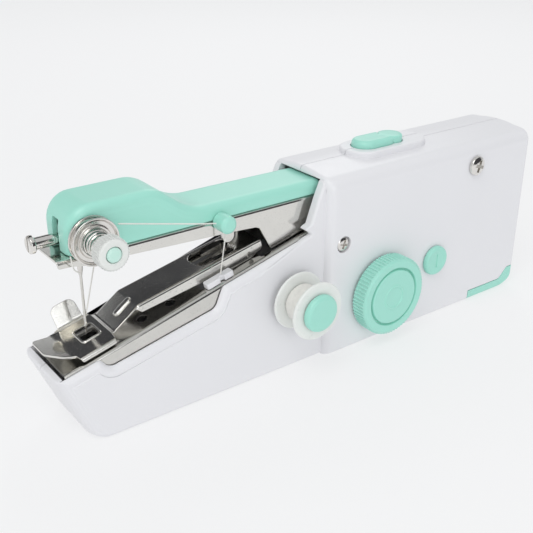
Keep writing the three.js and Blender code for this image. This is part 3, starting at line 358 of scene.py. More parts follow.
def moulded_plastic(name, colour, roughness, grain=0.10, spread=0.05, glow=0.0):
    """Injection-moulded plastic: faint flow clouds, a fine spark-eroded grain, worn sheen."""
    made, graph, where = new_material(name)
    clouds = graph.noise(where, 34.0, 3.0)
    pores = graph.noise(where, 5200.0, 2.0, 0.6)
    smudges = graph.noise(where, 210.0, 4.0, 0.65)
    tint = graph.blend(clouds, shade(colour, 1 - spread), shade(colour, 1 + spread * 0.6))
    gloss = roughness + (smudges - 0.5) * 0.16 + (pores - 0.5) * 0.06
    relief = graph.bump(pores * 0.7 + smudges * 0.3, grain, 0.00006)
    surface(graph, {
        "Base Color": tint,
        "Roughness": gloss,
        "Normal": relief,
        "Subsurface Weight": glow,
        "Subsurface Radius": (0.004, 0.004, 0.004),
        "Subsurface Scale": 0.4,
        "Specular IOR Level": 0.5,
    })
    return made


def frosted_plastic(name, colour):
    """Milky translucent plastic with a faint haze and a fine grain."""
    made, graph, where = new_material(name)
    haze = graph.noise(where, 160.0, 4.0, 0.6)
    pores = graph.noise(where, 3600.0, 2.0)
    tint = graph.blend(haze, shade(colour, 0.93), shade(colour, 1.05))
    surface(graph, {
        "Base Color": tint,
        "Roughness": 0.30 + (haze - 0.5) * 0.18,
        "Normal": graph.bump(pores, 0.08, 0.00005),
        "Subsurface Weight": 0.35,
        "Subsurface Radius": (0.004, 0.004, 0.004),
        "Subsurface Scale": 0.5,
    })
    return made


def sheet_steel(name, colour, cloud=0.10):
    """Cold-rolled stainless sheet: rolling lines, faint clouds, fine pits and hairlines."""
    made, graph, where = new_material(name)
    lines = graph.noise(stretched(graph, where, (90, 3400, 3400)), 1.0, 3.0, 0.6)
    clouds = graph.noise(where, 120.0, 4.0, 0.55)
    grit = graph.noise(where, 1500.0, 4.0, 0.7)
    pits = graph.ramp(graph.noise(where, 2600.0, 2.0, 0.6), [(0.30, 0.0), (0.38, 1.0)])
    tint = graph.blend(clouds, shade(colour, 1 - cloud), shade(colour, 1 + cloud))
    worn = graph.blend(pits, shade(colour, 0.55), tint)
    surface(graph, {
        "Base Color": worn,
        "Metallic": 1.0,
        "Roughness": 0.10 + clouds * 0.08 + (lines - 0.5) * 0.10 + (1 - pits) * 0.15,
        "Normal": graph.bump(grit * 0.5 + clouds * 0.3 + lines * 0.2, 0.22, 0.00011),
    })
    return made


def plated_metal(name, colour, roughness):
    """Bright plating: nearly a mirror, with hairlines and a slight orange peel."""
    made, graph, where = new_material(name)
    peel = graph.noise(where, 420.0, 3.0)
    hairs = graph.noise(stretched(graph, where, (900, 5200, 900)), 1.0, 4.0, 0.7)
    tint = graph.blend(peel, shade(colour, 0.86), shade(colour, 1.08))
    surface(graph, {
        "Base Color": tint,
        "Metallic": 1.0,
        "Roughness": roughness + (hairs - 0.5) * 0.12,
        "Normal": graph.bump(peel * 0.7 + hairs * 0.3, 0.10, 0.00008),
    })
    return made


def twisted_thread(name, colour):
    """Spun polyester: fibres along the plies, a soft sheen and slight colour drift."""
    made, graph, where = new_material(name)
    drift = graph.noise(where, 700.0, 3.0)
    fibres = graph.noise(stretched(graph, where, (9000, 9000, 2500)), 1.0, 4.0, 0.7)
    tint = graph.blend(drift * 0.6 + fibres * 0.4, shade(colour, 0.80), shade(colour, 1.12))
    surface(graph, {
        "Base Color": tint,
        "Roughness": 0.55 + fibres * 0.25,
        "Normal": graph.bump(fibres, 0.5, 0.00005),
        "Sheen Weight": 0.25,
        "Sheen Roughness": 0.4,
    })
    return made


def printed_sleeve(name, colour):
    """Shrink sleeve of a dry cell: a dark band, a gold band and wrinkles, with painted shade that
    darkens the colour towards black along the wrinkles.
    """
    made, graph, where = new_material(name)
    height = graph.node("ShaderNodeSeparateXYZ", inputs={"Vector": where}, output="Z")
    share = height * (1 / 0.058)
    bands = graph.ramp(share, [(0.0, colour), (0.62, (0.52, 0.36, 0.10))], "CONSTANT")
    creases_and_painted_shade = graph.noise(stretched(graph, where, (900, 900, 160)), 1.0, 3.0)
    surface(graph, {
        # Painted shade: the colour goes up to a quarter of the way to black along the wrinkles.
        "Base Color": graph.blend(creases_and_painted_shade * 0.25, bands, (0.02, 0.02, 0.02)),
        "Metallic": 0.55,
        "Roughness": 0.22 + creases_and_painted_shade * 0.18,
        "Normal": graph.bump(creases_and_painted_shade, 0.12, 0.0001),
    })
    return made


LOOKS = {}


def make_looks():
    """All finishes by name."""
    tones = colours()
    shell, accent = tuple(tones.shell), tuple(tones.accent)
    LOOKS.update(
        white_shell=moulded_plastic("white_shell", shell, 0.34, 0.10, 0.018),
        mint_shell=moulded_plastic("mint_shell", accent, 0.33, 0.09, 0.03, 0.12),
        mint_matte=moulded_plastic("mint_matte", accent, 0.42, 0.16, 0.03, 0.10),
        pale_mint=frosted_plastic("pale_mint", (0.56, 0.82, 0.73)),
        guide_white=moulded_plastic("guide_white", shade(shell, 0.98), 0.3, 0.08, 0.03),
        frosted=frosted_plastic("frosted_plastic", tuple(tones.frosted)),
        steel=sheet_steel("sheet_steel", tuple(tones.steel)),
        bright_steel=sheet_steel("bright_steel", shade(tuple(tones.steel), 1.10), 0.06),
        bright=plated_metal("bright_hardware", tuple(tones.bright), 0.13),
        brass=plated_metal("brass", (0.62, 0.44, 0.16), 0.26),
        nylon=moulded_plastic("nylon", (0.78, 0.76, 0.68), 0.48, 0.12, 0.05, 0.1),
        black=moulded_plastic("black_plastic", (0.022, 0.023, 0.026), 0.45, 0.14, 0.12),
        sleeve=printed_sleeve("cell_sleeve", (0.035, 0.12, 0.095)),
        yarn=twisted_thread("sewing_thread", tuple(tones.yarn)),
    )


# ---------------------------------------------------------------- outlines


def linked(name, data):
    """A new object in the scene that shows the given data."""
    made = bpy.data.objects.new(name, data)
    bpy.context.scene.collection.objects.link(made)
    return made


def ring(corners, insets, steps):
    """Points of a closed outline whose edges are moved inwards by their own insets.

    corners are (x, y) or (x, y, radius), anticlockwise. Each rounded corner always gives the
    same number of points, so rings of one outline match up."""
    count = len(corners)
    lines = []
    for i in range(count):
        start = Vector(corners[i][:2])
        along = (Vector(corners[(i + 1) % count][:2]) - start).normalized()
        lines.append((start + Vector((-along.y, along.x)) * insets[i], along))
    points = []
    for i in range(count):
        (p, t), (q, s) = lines[i - 1], lines[i]
        cross = t.x * s.y - t.y * s.x
        if abs(cross) < 1e-5:
            corner = q.copy()
        else:
            gap = q - p
            corner = p + t * ((gap.x * s.y - gap.y * s.x) / cross)
        radius = corners[i][2] if len(corners[i]) > 2 else 0
        if radius <= 0:
            points.append(corner)
            continue
        moved = (insets[i - 1] + insets[i]) / 2
        radius = max(radius - moved, 1e-4) if cross > 0 else radius + moved
        half = math.acos(max(-1.0, min(1.0, (-t).dot(s)))) / 2
        centre = corner + (s - t).normalized() * (radius / math.sin(half))
        first = corner - t * (radius / math.tan(half)) - centre
        last = corner + s * (radius / math.tan(half)) - centre
        start_angle = math.atan2(first.y, first.x)
        sweep = (math.atan2(last.y, last.x) - start_angle + math.pi) % (2 * math.pi) - math.pi
        for k in range(steps + 1):
            angle = start_angle + sweep * k / steps
            points.append(centre + Vector((math.cos(angle), math.sin(angle))) * radius)
    return points


def rounding(radius, steps):
    """A quarter round as (depth from the face, inset) pairs."""
    turns = [math.pi / 2 * k / steps for k in range(steps + 1)]
    return [(radius * (1 - math.sin(a)), radius * (1 - math.cos(a))) for a in turns][::-1]


def inset_at(profile, depth):
    """Inset of a rounding profile at a depth from the face."""
    if not profile:
        return 0.0
    for (d0, i0), (d1, i1) in zip(profile, profile[1:]):
        if d0 <= depth <= d1:
            share = (depth - d0) / (d1 - d0) if d1 > d0 else 0
            return i0 + (i1 - i0) * share
    return 0.0 if depth > profile[-1][0] else profile[0][1]


AXES = {
    "x": lambda p, depth: (depth, p.x, p.y),
    "y": lambda p, depth: (p.x, depth, p.y),
    "z": lambda p, depth: (p.x, p.y, depth),
}


def shape(name, points, faces):
    """A mesh object from points and faces, with doubles merged and faces turned out."""
    mesh = bpy.data.meshes.new(name)
    work = bmesh.new()
    verts = [work.verts.new(p) for p in points]
    for face in faces:
        try:
            work.faces.new([verts[i] for i in face])
        except ValueError:
            continue
    bmesh.ops.remove_doubles(work, verts=work.verts, dist=2e-4)
    bmesh.ops.dissolve_degenerate(work, edges=work.edges, dist=1e-5)
    bmesh.ops.recalc_face_normals(work, faces=work.faces)
    work.to_mesh(mesh)
    work.free()
    return linked(name, mesh)


def pillow(name, corners, axis, low, high, low_round=None, high_round=None, steps=6, edges=None):
    """A prism along an axis whose rims are rounded.

    low_round and high_round are one radius, or one profile or radius for each edge."""
    count = len(corners)

    def profiles(given):
        if given is None:
            given = 0
        listed = given if isinstance(given, (list, tuple)) else [given] * count
        return [
            rounding(item, edges or steps) if isinstance(item, (int, float)) and item > 0
            else (item if isinstance(item, (list, tuple)) else None)
            for item in listed
        ]

    low_side, high_side = profiles(low_round), profiles(high_round)
    depths = {low, high}
    for profile in low_side:
        depths.update(low + pair[0] for pair in profile or [])
    for profile in high_side:
        depths.update(high - pair[0] for pair in profile or [])
    layers = sorted({round(depth, 5) for depth in depths if low <= depth <= high})
    points, faces = [], []
    for depth in layers:
        insets = [
            max(inset_at(a, depth - low), inset_at(b, high - depth))
            for a, b in zip(low_side, high_side)
        ]
        points.extend(AXES[axis](p, depth) for p in ring(corners, insets, steps))
    size = len(points) // len(layers)
    for k in range(len(layers) - 1):
        for i in range(size):
            j = (i + 1) % size
            base = k * size
            faces.append((base + i, base + j, base + size + j, base + size + i))
    faces.append(tuple(range(size))[::-1])
    faces.append(tuple(range(len(points) - size, len(points))))
    return shape(name, points, faces)


def lathe(name, profile, centre, sides=64, axis="y"):
    """A turned piece: (radius, place along the axis) points, round a line through centre."""
    points, faces = [], []
    size = len(profile)
    for i in range(sides):
        angle = 2 * math.pi * i / sides
        for radius, place in profile:
            a = centre[0] + radius * math.cos(angle)
            b = centre[1] + radius * math.sin(angle)
            points.append(AXES[axis](Vector((a, b)), place))
    closed = profile[0][0] > 1e-6 and profile[-1][0] > 1e-6
    for i in range(sides):
        j = (i + 1) % sides
        for k in range(size if closed else size - 1):
            m = (k + 1) % size
            faces.append((i * size + k, i * size + m, j * size + m, j * size + k))
    return shape(name, points, faces)


def soft_profile(corners, steps=4):
    """Rounds the corners of an open (radius, place) profile: (r, y) or (r, y, rounding)."""
    points = []
    for i, corner in enumerate(corners):
        here = Vector(corner[:2])
        if len(corner) < 3 or i in (0, len(corners) - 1):
            points.append(tuple(here))
            continue
        before = (Vector(corners[i - 1][:2]) - here).normalized()
        after = (Vector(corners[i + 1][:2]) - here).normalized()
        half = math.acos(max(-1.0, min(1.0, before.dot(after)))) / 2
        reach = corner[2] / math.tan(half)
        start, end = here + before * reach, here + after * reach
        for k in range(steps + 1):
            t = k / steps
            flat = start * (1 - t) ** 2 + here * (2 * t * (1 - t)) + end * t**2
            points.append(tuple(flat))
    return points


def stadium(x0, x1, half, steps=10):
    """Outline of a slot with round ends, anticlockwise, as plain corners."""
    points = []
    for k in range(steps + 1):
        angle = -math.pi / 2 + math.pi * k / steps
        points.append((x1 + half * math.cos(angle), half * math.sin(angle)))
    for k in range(steps + 1):
        angle = math.pi / 2 + math.pi * k / steps
        points.append((x0 + half * math.cos(angle), half * math.sin(angle)))
    return points


def disc(x, z, radius, sides=32):
    angles = [2 * math.pi * k / sides for k in range(sides)]
    return [(x + radius * math.cos(a), z + radius * math.sin(a)) for a in angles]


def box(x0, x1, y0, y1, z0, z1):
    return pillow("block", [(x0, y0), (x1, y0), (x1, y1), (x0, y1)], "z", z0, z1)


def rod(axis, centre, radius, low, high, sides=32):
    return pillow("rod", disc(*centre, radius, sides), axis, low, high)


# ---------------------------------------------------------------- finishing a shape


def baked(piece):
    """Turns a piece's modifiers into its mesh."""
    depsgraph = bpy.context.evaluated_depsgraph_get()
    depsgraph.update()
    mesh = bpy.data.meshes.new_from_object(piece.evaluated_get(depsgraph))
    piece.modifiers.clear()
    old, piece.data = piece.data, mesh
    bpy.data.meshes.remove(old)
    return piece


def carve(piece, tools, operation="DIFFERENCE"):
    """Cuts, joins or keeps a piece by each tool in turn, and uses the tools up."""
    for tool in tools:
        change = piece.modifiers.new("carve", "BOOLEAN")
        change.operation = operation
        change.solver = "EXACT"
        change.object = tool
        baked(piece)
        bpy.data.objects.remove(tool)
    if not piece.data.polygons:
        raise RuntimeError(f"{piece.name} was cut away")
    return piece


def copied(piece):
    twin = piece.copy()
    twin.data = piece.data.copy()
    bpy.context.scene.collection.objects.link(twin)
    return twin


def soften(piece, width, segments=2, angle=38):
    """Breaks the sharp edges that a cut leaves."""
    bevel = piece.modifiers.new("soften", "BEVEL")
    bevel.width = width
    bevel.segments = segments
    bevel.limit_method = "ANGLE"
    bevel.angle_limit = math.radians(angle)
    bevel.use_clamp_overlap = False
    bevel.miter_outer = "MITER_ARC"
    return baked(piece)


def reshape(piece, rule):
    """Moves every point of a piece by a rule on its place."""
    for vertex in piece.data.vertices:
        vertex.co = rule(vertex.co)
    piece.data.update()
    return piece


def turn_out(piece):
    """Faces outwards, with doubles merged first."""
    work = bmesh.new()
    work.from_mesh(piece.data)
    bmesh.ops.remove_doubles(work, verts=work.verts, dist=1e-4)
    bmesh.ops.recalc_face_normals(work, faces=work.faces)
    work.to_mesh(piece.data)
    work.free()
    return piece


def joined(name, pieces):
    """Several shapes as one mesh."""
    work = bmesh.new()
    for piece in pieces:
        work.from_mesh(piece.data)
        bpy.data.objects.remove(piece)
    mesh = bpy.data.meshes.new(name)
    work.to_mesh(mesh)
    work.free()
    return linked(name, mesh)


def settle(piece, name, look, body, nodes=(), angle=35):
    """Brings a finished shape into the frame, gives it its finish and puts it on its body."""
    piece.name = name
    piece.data.name = name
    piece.data.transform(Matrix.Translation(ORIGIN) @ Matrix.Scale(MM, 4))
    piece.data.materials.clear()
    piece.data.materials.append(LOOKS[look])
    for polygon in piece.data.polygons:
        polygon.material_index = 0
    piece.data.shade_smooth()
    piece.data.set_sharp_from_angle(angle=math.radians(angle))
    weighted = piece.modifiers.new("even", "WEIGHTED_NORMAL")
    weighted.keep_sharp = True
    weighted.weight = 80
    baked(piece)
    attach(piece, body)
    if nodes:
        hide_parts(*nodes)
    return piece


# ---------------------------------------------------------------- node-made repeats


def grown(name, tree, values, source=None):
    """Runs a geometry tree with the given input values and returns its result as a mesh."""
    mesh = source or bpy.data.meshes.new(name)
    host = linked(name, mesh)
    change = host.modifiers.new("grow", "NODES")
    change.node_group = tree
    for item in tree.interface.items_tree:
        if item.item_type == "SOCKET" and item.in_out == "INPUT" and item.name in values:
            change[item.identifier] = values[item.name]
    host.data.update()
    return baked(host)


def new_tree(name, inputs):
    """A geometry tree with named inputs; returns its graph and a lookup of input wires."""
    tree = bpy.data.node_groups.new(name, "GeometryNodeTree")
    kinds = {
        "geometry": "NodeSocketGeometry", "float": "NodeSocketFloat", "int": "NodeSocketInt",
        "vector": "NodeSocketVector", "material": "NodeSocketMaterial",
    }
    for label, kind in inputs:
        tree.interface.new_socket(name=label, in_out="INPUT", socket_type=kinds[kind])
    tree.interface.new_socket(name="Shape", in_out="OUTPUT", socket_type=kinds["geometry"])
    graph = Graph(tree)
    gate = graph.node("NodeGroupInput").socket.node
    return graph, {label: Wire(graph, gate.outputs[label]) for label, _ in inputs}


def close_tree(graph, made, look):
    """Realize Instances, Set Material and the tree's output."""
    real = graph.node("GeometryNodeRealizeInstances", inputs={"Geometry": made})
    painted = graph.node("GeometryNodeSetMaterial", inputs={"Geometry": real, "Material": look})
    graph.node("NodeGroupOutput", inputs={"Shape": painted})
    return graph.tree


def swept(graph, curve, radius, sides):
    """A round bar along a curve."""
    section = graph.node(
        "GeometryNodeCurvePrimitiveCircle", {"mode": "RADIUS"},
        {"Resolution": sides, "Radius": radius},
    )
    inputs = {"Curve": curve, "Profile Curve": section, "Fill Caps": True}
    return graph.node("GeometryNodeCurveToMesh", inputs=inputs)


def coil_tree():
    """A wire coil along +Z from the origin, then turned and moved to its place."""
    graph, given = new_tree("wire_coil", [
        ("Turns", "float"), ("Start radius", "float"), ("End radius", "float"),
        ("Height", "float"), ("Wire", "float"), ("Steps", "int"), ("Sides", "int"),
        ("Turn", "vector"), ("Place", "vector"), ("Look", "material"),
    ])
    spiral = graph.node("GeometryNodeCurveSpiral", inputs={
        "Resolution": given["Steps"], "Rotations": given["Turns"],
        "Start Radius": given["Start radius"], "End Radius": given["End radius"],
        "Height": given["Height"],
    })
    wire = swept(graph, spiral, given["Wire"], given["Sides"])
    placed = graph.node("GeometryNodeTransform", inputs={
        "Geometry": wire, "Translation": given["Place"], "Rotation": given["Turn"],
    })
    return close_tree(graph, placed, given["Look"])


def ridge_tree():
    """Round-topped grip ridges standing in a ring round an axis along +Z."""
    graph, given = new_tree("grip_ridges", [
        ("Count", "int"), ("Radius", "float"), ("Ridge", "float"), ("Length", "float"),
        ("Turn", "vector"), ("Place", "vector"), ("Look", "material"),
    ])
    posts = graph.node(
        "GeometryNodeMeshCircle", {"fill_type": "NONE"},
        {"Vertices": given["Count"], "Radius": given["Radius"]},
    )
    bar = graph.node(
        "GeometryNodeMeshCylinder", {"fill_type": "NGON"},
        {"Vertices": 10, "Radius": given["Ridge"], "Depth": given["Length"]},
    )
    copies = graph.node(
        "GeometryNodeInstanceOnPoints", inputs={"Points": posts, "Instance": bar},
        output="Instances",
    )
    placed = graph.node("GeometryNodeTransform", inputs={
        "Geometry": copies, "Translation": given["Place"], "Rotation": given["Turn"],
    })
    return close_tree(graph, placed, given["Look"])


def ply_tree():
    """Round plies along the edges of a mesh of polylines."""
    graph, given = new_tree("thread_plies", [
        ("Path", "geometry"), ("Radius", "float"), ("Sides", "int"), ("Look", "material"),
    ])
    curve = graph.node("GeometryNodeMeshToCurve", inputs={"Mesh": given["Path"]})
    plies = swept(graph, curve, given["Radius"], given["Sides"])
    return close_tree(graph, plies, given["Look"])


TREES = {}


def make_trees():
    TREES.update(coil=coil_tree(), ridges=ridge_tree(), plies=ply_tree())


def coil(name, axis, place, turns, start, end, height, wire, look, sides=8, per_turn=28):
    """A wire coil whose axis runs along +axis from place."""
    turn = {"z": (0, 0, 0), "y": (-math.pi / 2, 0, 0)}[axis]
    return grown(name, TREES["coil"], {
        "Turns": float(turns), "Start radius": start, "End radius": end, "Height": height,
        "Wire": wire, "Steps": per_turn, "Sides": sides, "Turn": turn, "Place": place,
        "Look": LOOKS[look],
    })


def ridges(name, count, radius, ridge, length, centre, middle, look):
    """Grip ridges round an axis along Y through centre, with their middle at y = middle."""
    return grown(name, TREES["ridges"], {
        "Count": count, "Radius": radius, "Ridge": ridge, "Length": length,
        "Turn": (math.pi / 2, 0, 0), "Place": (centre[0], middle, centre[1]),
        "Look": LOOKS[look],
    })


def smooth_path(points, per_span=12):
    """Catmull-Rom points through the given ones."""
    line = [Vector(p) for p in points]
    ends = [line[0] * 2 - line[1], *line, line[-1] * 2 - line[-2]]
    path = []
    for i in range(1, len(ends) - 2):
        a, b, c, d = ends[i - 1 : i + 3]
        for k in range(per_span):
            t = k / per_span
            path.append(
                (b * 2 + (c - a) * t + (a * 2 - b * 5 + c * 4 - d) * t**2
                 + (b * 3 - a - c * 3 + d) * t**3) / 2
            )
    path.append(line[-1])
    return path


def thread(name, path, twist=1.5, plies=2):
    """Twisted thread along a path in millimetres."""
    radius = sizes().thread_ply / MM
    length = sum((b - a).length for a, b in zip(path, path[1:]))
    steps = max(8, int(length * 7))
    stops, walked = [0.0], 0.0
    for a, b in zip(path, path[1:]):
        walked += (b - a).length
        stops.append(walked)

    def at(s):
        for i in range(len(stops) - 1):
            if s <= stops[i + 1] or i == len(stops) - 2:
                span = stops[i + 1] - stops[i]
                along = path[i + 1] - path[i]
                return path[i] + along * ((s - stops[i]) / span), along.normalized()

    points, edges = [], []
    for ply in range(plies):
        first = len(points)
        for k in range(steps + 1):
            s = length * k / steps
            place, along = at(s)
            side = along.cross(Vector((0.31, 0.9, 0.27))).normalized()
            other = along.cross(side)
            angle = 2 * math.pi * (s / twist + ply / plies)
            offset = side * math.cos(angle) + other * math.sin(angle)
            points.append(place + offset * radius * 0.92)
        edges.extend((i, i + 1) for i in range(first, len(points) - 1))
    mesh = bpy.data.meshes.new(name)
    mesh.from_pydata(points, edges, [])
    values = {"Radius": radius, "Sides": 6, "Look": LOOKS["yarn"]}
    return grown(name, TREES["plies"], values, mesh)


# ---------------------------------------------------------------- sheet metal


def on_the_bed(piece):
    """A shape drawn as (u, y, w) on the bed, brought to the machine's axes."""
    return turn_out(reshape(piece, bed_point))


def channel(name, half, deck, sheet, depth, low, high, bend):
    """An upside-down U of bent sheet along X, with the outside bend radius given."""
    foot = deck - depth
    inner = half - sheet
    section = [
        (-half, foot), (-inner, foot), (-inner, deck - sheet, max(bend - sheet, 0.2)),
        (inner, deck - sheet, max(bend - sheet, 0.2)), (inner, foot), (half, foot),
        (half, deck, bend), (-half, deck, bend),
    ]
    return pillow(name, section, "x", low, high, steps=5)


# ---------------------------------------------------------------- housing

BED_LINE = -0.2
SLOPED_RIM = [(0.0, 3.4), (0.35, 3.1), (0.36, 2.3)]
SLOPED_RIM += [(0.36 + depth, inset) for depth, inset in rounding(2.3, 6)[1:]]


def body_outline(inset=0.0):
    half, top = BODY_HALF - inset, BODY_TOP - inset
    crown = [(y, top + CROWN * (1 - (y / 12.1) ** 2)) for y in (9, 6, 3, 0, -3, -6, -9)]
    foot = max(1.5 - inset, 0.3)
    return [
        (-half, inset, foot), (half, inset, foot),
        (half, top, 5 - inset), *crown, (-half, top, 5 - inset),
    ]


def body_block(name):
    tuned = sizes()
    front, rear = tuned.body_front_edge / MM, tuned.body_rear_edge / MM
    return pillow(
        name, body_outline(), "x", 0, BODY_LENGTH,
        [0.8, front, *[1.6] * 8, front], [9, rear, *[1.5] * 8, rear], steps=6, edges=9,
    )


def base_block(name):
    """The narrow base with its slanted nose, its window and the cheeks beside the arm."""
    corners = [
        (-92.5, 0.0, 6.0), (6.0, 0.0), (6.0, 68.3), (-0.3, 68.3, 0.8), (-2.9, 62.4),
        (-6.1, 53.6, 0.5), (-8.7, 52.5, 0.4), (-5.5, 50.2, 0.5), on_bed(92.2, BED_LINE),
        (*on_bed(58.9, BED_LINE), 2.0), (*on_bed(54.0, -6.4), 3.5),
        (*on_bed(13.9, -4.8), 3.5), (*on_bed(11.7, BED_LINE), 2.0), (-102.7, 24.9, 1.0),
    ]
    lip = 1.1
    rims = [1.5, 0, 2.5, lip, lip, 0.6, 0.6, lip, *[SLOPED_RIM] * 5, 5.0]
    return pillow(name, corners, "y", -BASE_HALF, BASE_HALF, rims, rims, steps=7)


def body_hollow():
    rear = [7, 0.3, *[0.3] * 8, 0.3]
    end = BODY_LENGTH - WALL
    return pillow("hollow", body_outline(WALL), "x", WALL, end, None, rear, steps=4)


def hollow_tools():
    """Everything the two housing halves leave empty, as cutting shapes."""
    inner = BASE_HALF - WALL
    under = [
        (WALL + 1, WALL), (WALL + 1, on_bed(BED_LENGTH, 2)[1]), on_bed(0, 2),
        on_bed(-1.2, -0.3), (-98.3, 22.5), (-90.9, WALL, 4.0),
    ]
    base = pillow("under", under[::-1], "y", -inner, inner, steps=4)
    tunnel = box(-15, WALL + 1, -11, 11, 45, 68.3)
    return [body_hollow(), base, tunnel]


# Switch: the pad's first end, its half width and the floor both buttons stand on
PAD_START = 30.8
PAD_HALF = 5.1
LOCK = (43.2, 0)
BUTTON_FLOOR = 65.8


def switch_wells(clearance):
    pad = pillow("pad_well", stadium(PAD_START, 38.4, PAD_HALF + clearance), "z", 64, 80)
    lock = rod("z", LOCK, 4.8 + clearance, 64, 80, 40)
    return [pad, lock]


def battery_door_region(clearance):
    c = clearance
    strip = [
        (79 - c, -1), (108.5, -1), (108.5, 8.5 + c), (103, 8.5 + c, 2),
        (98.5, 4 + c, 3), (79 - c, 4 + c),
    ]
    region = pillow("door_region", strip, "y", -18.1, 18.1)
    tongue = box(76.6 - c, 80, -14.8 - c, 14.8 + c, -1, WALL + c)
    return carve(region, [tongue], "UNION")


class MACHINE_OT_housing(bpy.types.Operator):
    """Two moulded housing halves with the parting line, the switch surround and the window"""

    bl_idname = "machine.housing"
    bl_label = "Housing"
    bl_options = {"REGISTER", "UNDO"}

    def execute(self, context):
        outer = body_block("outer")
        surround = pillow(
            "surround", stadium(29.5, 50.5, 8.5, 14), "z", 67.5, 72.3, None, 0.7, steps=4
        )
        carve(outer, [base_block("base"), surround], "UNION")
        shell = carve(copied(outer), hollow_tools())
        holes = [
            rod("y", WHEEL, 2.6, -18, -14),
            rod("y", FRONT_SCREW, 3.15, -18, -15.4),
            rod("y", FRONT_SCREW, 1.7, -16, -10),
            rod("y", REAR_SCREW, 1.8, -18, -14),
            rod("y", PLUG, 3.0, -18, -14),
            rod("y", BOBBIN, 2.9, -15, -11.5),
            *switch_wells(0.35),
        ]
        carve(shell, [*holes, battery_door_region(GAP)])
        seam = sizes().seam_gap / MM / 2
        near = carve(copied(shell), [box(-200, 200, -50, -seam, -50, 150)], "INTERSECT")
        far = carve(shell, [box(-200, 200, seam, 50, -50, 150)], "INTERSECT")
        for piece, side in ((near, "near"), (far, "far")):
            soften(piece, 0.15, 2, 40)
            settle(piece, f"shell_{side}", "white_shell", "housing",
                   [f"housing_{side}"], 32)
        door = carve(outer, [battery_door_region(0)], "INTERSECT")
        carve(door, [body_hollow()])
        rails = [box(80, 93.5, y - 0.6, y + 0.6, 1, 4) for y in (-14.2, 14.2)]
        carve(door, rails, "UNION")
        soften(door, 0.15, 2, 40)
        settle(door, "battery_door", "mint_shell", "cover", ["battery_cover"], 32)
        return {"FINISHED"}


class MACHINE_OT_switch(bpy.types.Operator):
    """Power pad and round lock button on the top"""

    bl_idname = "machine.switch"
    bl_label = "Switch buttons"
    bl_options = {"REGISTER", "UNDO"}

    def execute(self, context):
        low = BUTTON_FLOOR
        outline = stadium(PAD_START, 38.6, PAD_HALF, 14)
        pad = pillow("pad", outline, "z", low, 75.0, None, 1.7, steps=6)
        stem = rod("z", (32.8, 0), 2.0, low - 2.2, low + 0.5, 24)
        carve(pad, [stem], "UNION")
        space = rod("z", LOCK, 4.95, low - 3, 77, 64)
        carve(pad, [space, box(LOCK[0], 60, -20, 20, low - 3, 77)])
        settle(pad, "power_pad", "mint_shell", "power_button", ["power_button"])
        dome = soft_profile([
            (0, low), (4.87, low), (4.87, 74.8, 1.0), (2.4, 74.95, 1.0), (0, 74.9),
        ])
        lock = lathe("lock", dome, LOCK, 56, "z")
        carve(lock, [rod("z", LOCK, 2.0, low - 2.2, low + 0.5, 24)], "UNION")
        settle(lock, "lock_cap", "mint_shell", "lock_button", ["lock_button"])
        return {"FINISHED"}


def crossed_screw(name, centre, head, height, shank, face, tip):
    """A pan head screw along Y with a crossed recess; its head's face is at y = -face."""
    x, z = centre
    base = -face + height
    profile = soft_profile([
        (0, -face), (head * 0.62, -face + height * 0.06), (head * 0.93, -face + height * 0.42, 0.5),
        (head, base - 0.15, 0.25), (head - 0.15, base), (shank, base), (shank, tip - 1),
        (0, tip),
    ])
    piece = lathe(name, profile, centre, 48)
    arm, half = head * 0.60, head * 0.16
    deep = -face + height * 0.95
    wings = [
        pillow("wing", [(x - arm, z - half), (x + arm, z - half), (x + arm, z + half),
                        (x - arm, z + half)], "y", -face - 1, deep),
        pillow("wing", [(x - half, z - arm), (x + half, z - arm), (x + half, z + arm),
                        (x - half, z + arm)], "y", -face - 1, deep),
    ]
    carve(piece, wings)
    tilt = Matrix.Rotation(math.radians(18), 4, "Y")
    middle = Vector((x, 0, z))
    return reshape(piece, lambda p: tilt @ (p - middle) + middle)


class MACHINE_OT_screws(bpy.types.Operator):
    """Two crossed screws that hold the housing halves together"""

    bl_idname = "machine.screws"
    bl_label = "Housing screws"
    bl_options = {"REGISTER", "UNDO"}

    def execute(self, context):
        rear = crossed_screw("screw", REAR_SCREW, 4.0, 1.8, 1.3, BODY_HALF + 2, 9)
        settle(rear, "screw_rear", "bright", "housing", ["housing_screw_rear"])
        front = crossed_screw("screw", FRONT_SCREW, 2.8, 1.2, 1.3, BODY_HALF - 0.1, -10.1)
        settle(front, "screw_front", "bright", "housing",
               ["housing_screw_front"])
        return {"FINISHED"}


# ---------------------------------------------------------------- round pieces on the near side


class MACHINE_OT_handwheel(bpy.types.Operator):
    """Handwheel with fine grip ridges round its rim, a groove and a small ring on its face"""

    bl_idname = "machine.handwheel"
    bl_label = "Handwheel"
    bl_options = {"REGISTER", "UNDO"}

    def execute(self, context):
        profile = soft_profile([
            (2.3, -18.0), (14.8, -18.0, 0.4), (15.15, -18.4, 0.3), (15.15, -23.8, 0.3),
            (14.3, -24.5, 0.5), (11.75, -24.4, 0.3), (11.35, -23.1, 0.15), (10.95, -23.1, 0.15),
            (10.7, -24.5, 0.4), (5.0, -24.55, 0.15), (4.7, -24.8, 0.12), (4.25, -24.8, 0.12),
            (3.95, -24.5, 0.15), (0, -24.5),
        ])
        disc_piece = lathe("wheel", [(0, -22.5), (2.3, -22.5), *profile], WHEEL, 128)
        count = sizes().wheel_ridges
        grips = ridges("grips", count, 15.12, 0.42, 5.3, WHEEL, -21.1, "mint_shell")
        piece = joined("wheel", [disc_piece, grips])
        settle(piece, "handwheel_disc", "mint_shell", "crank", ["handwheel"])
        return {"FINISHED"}


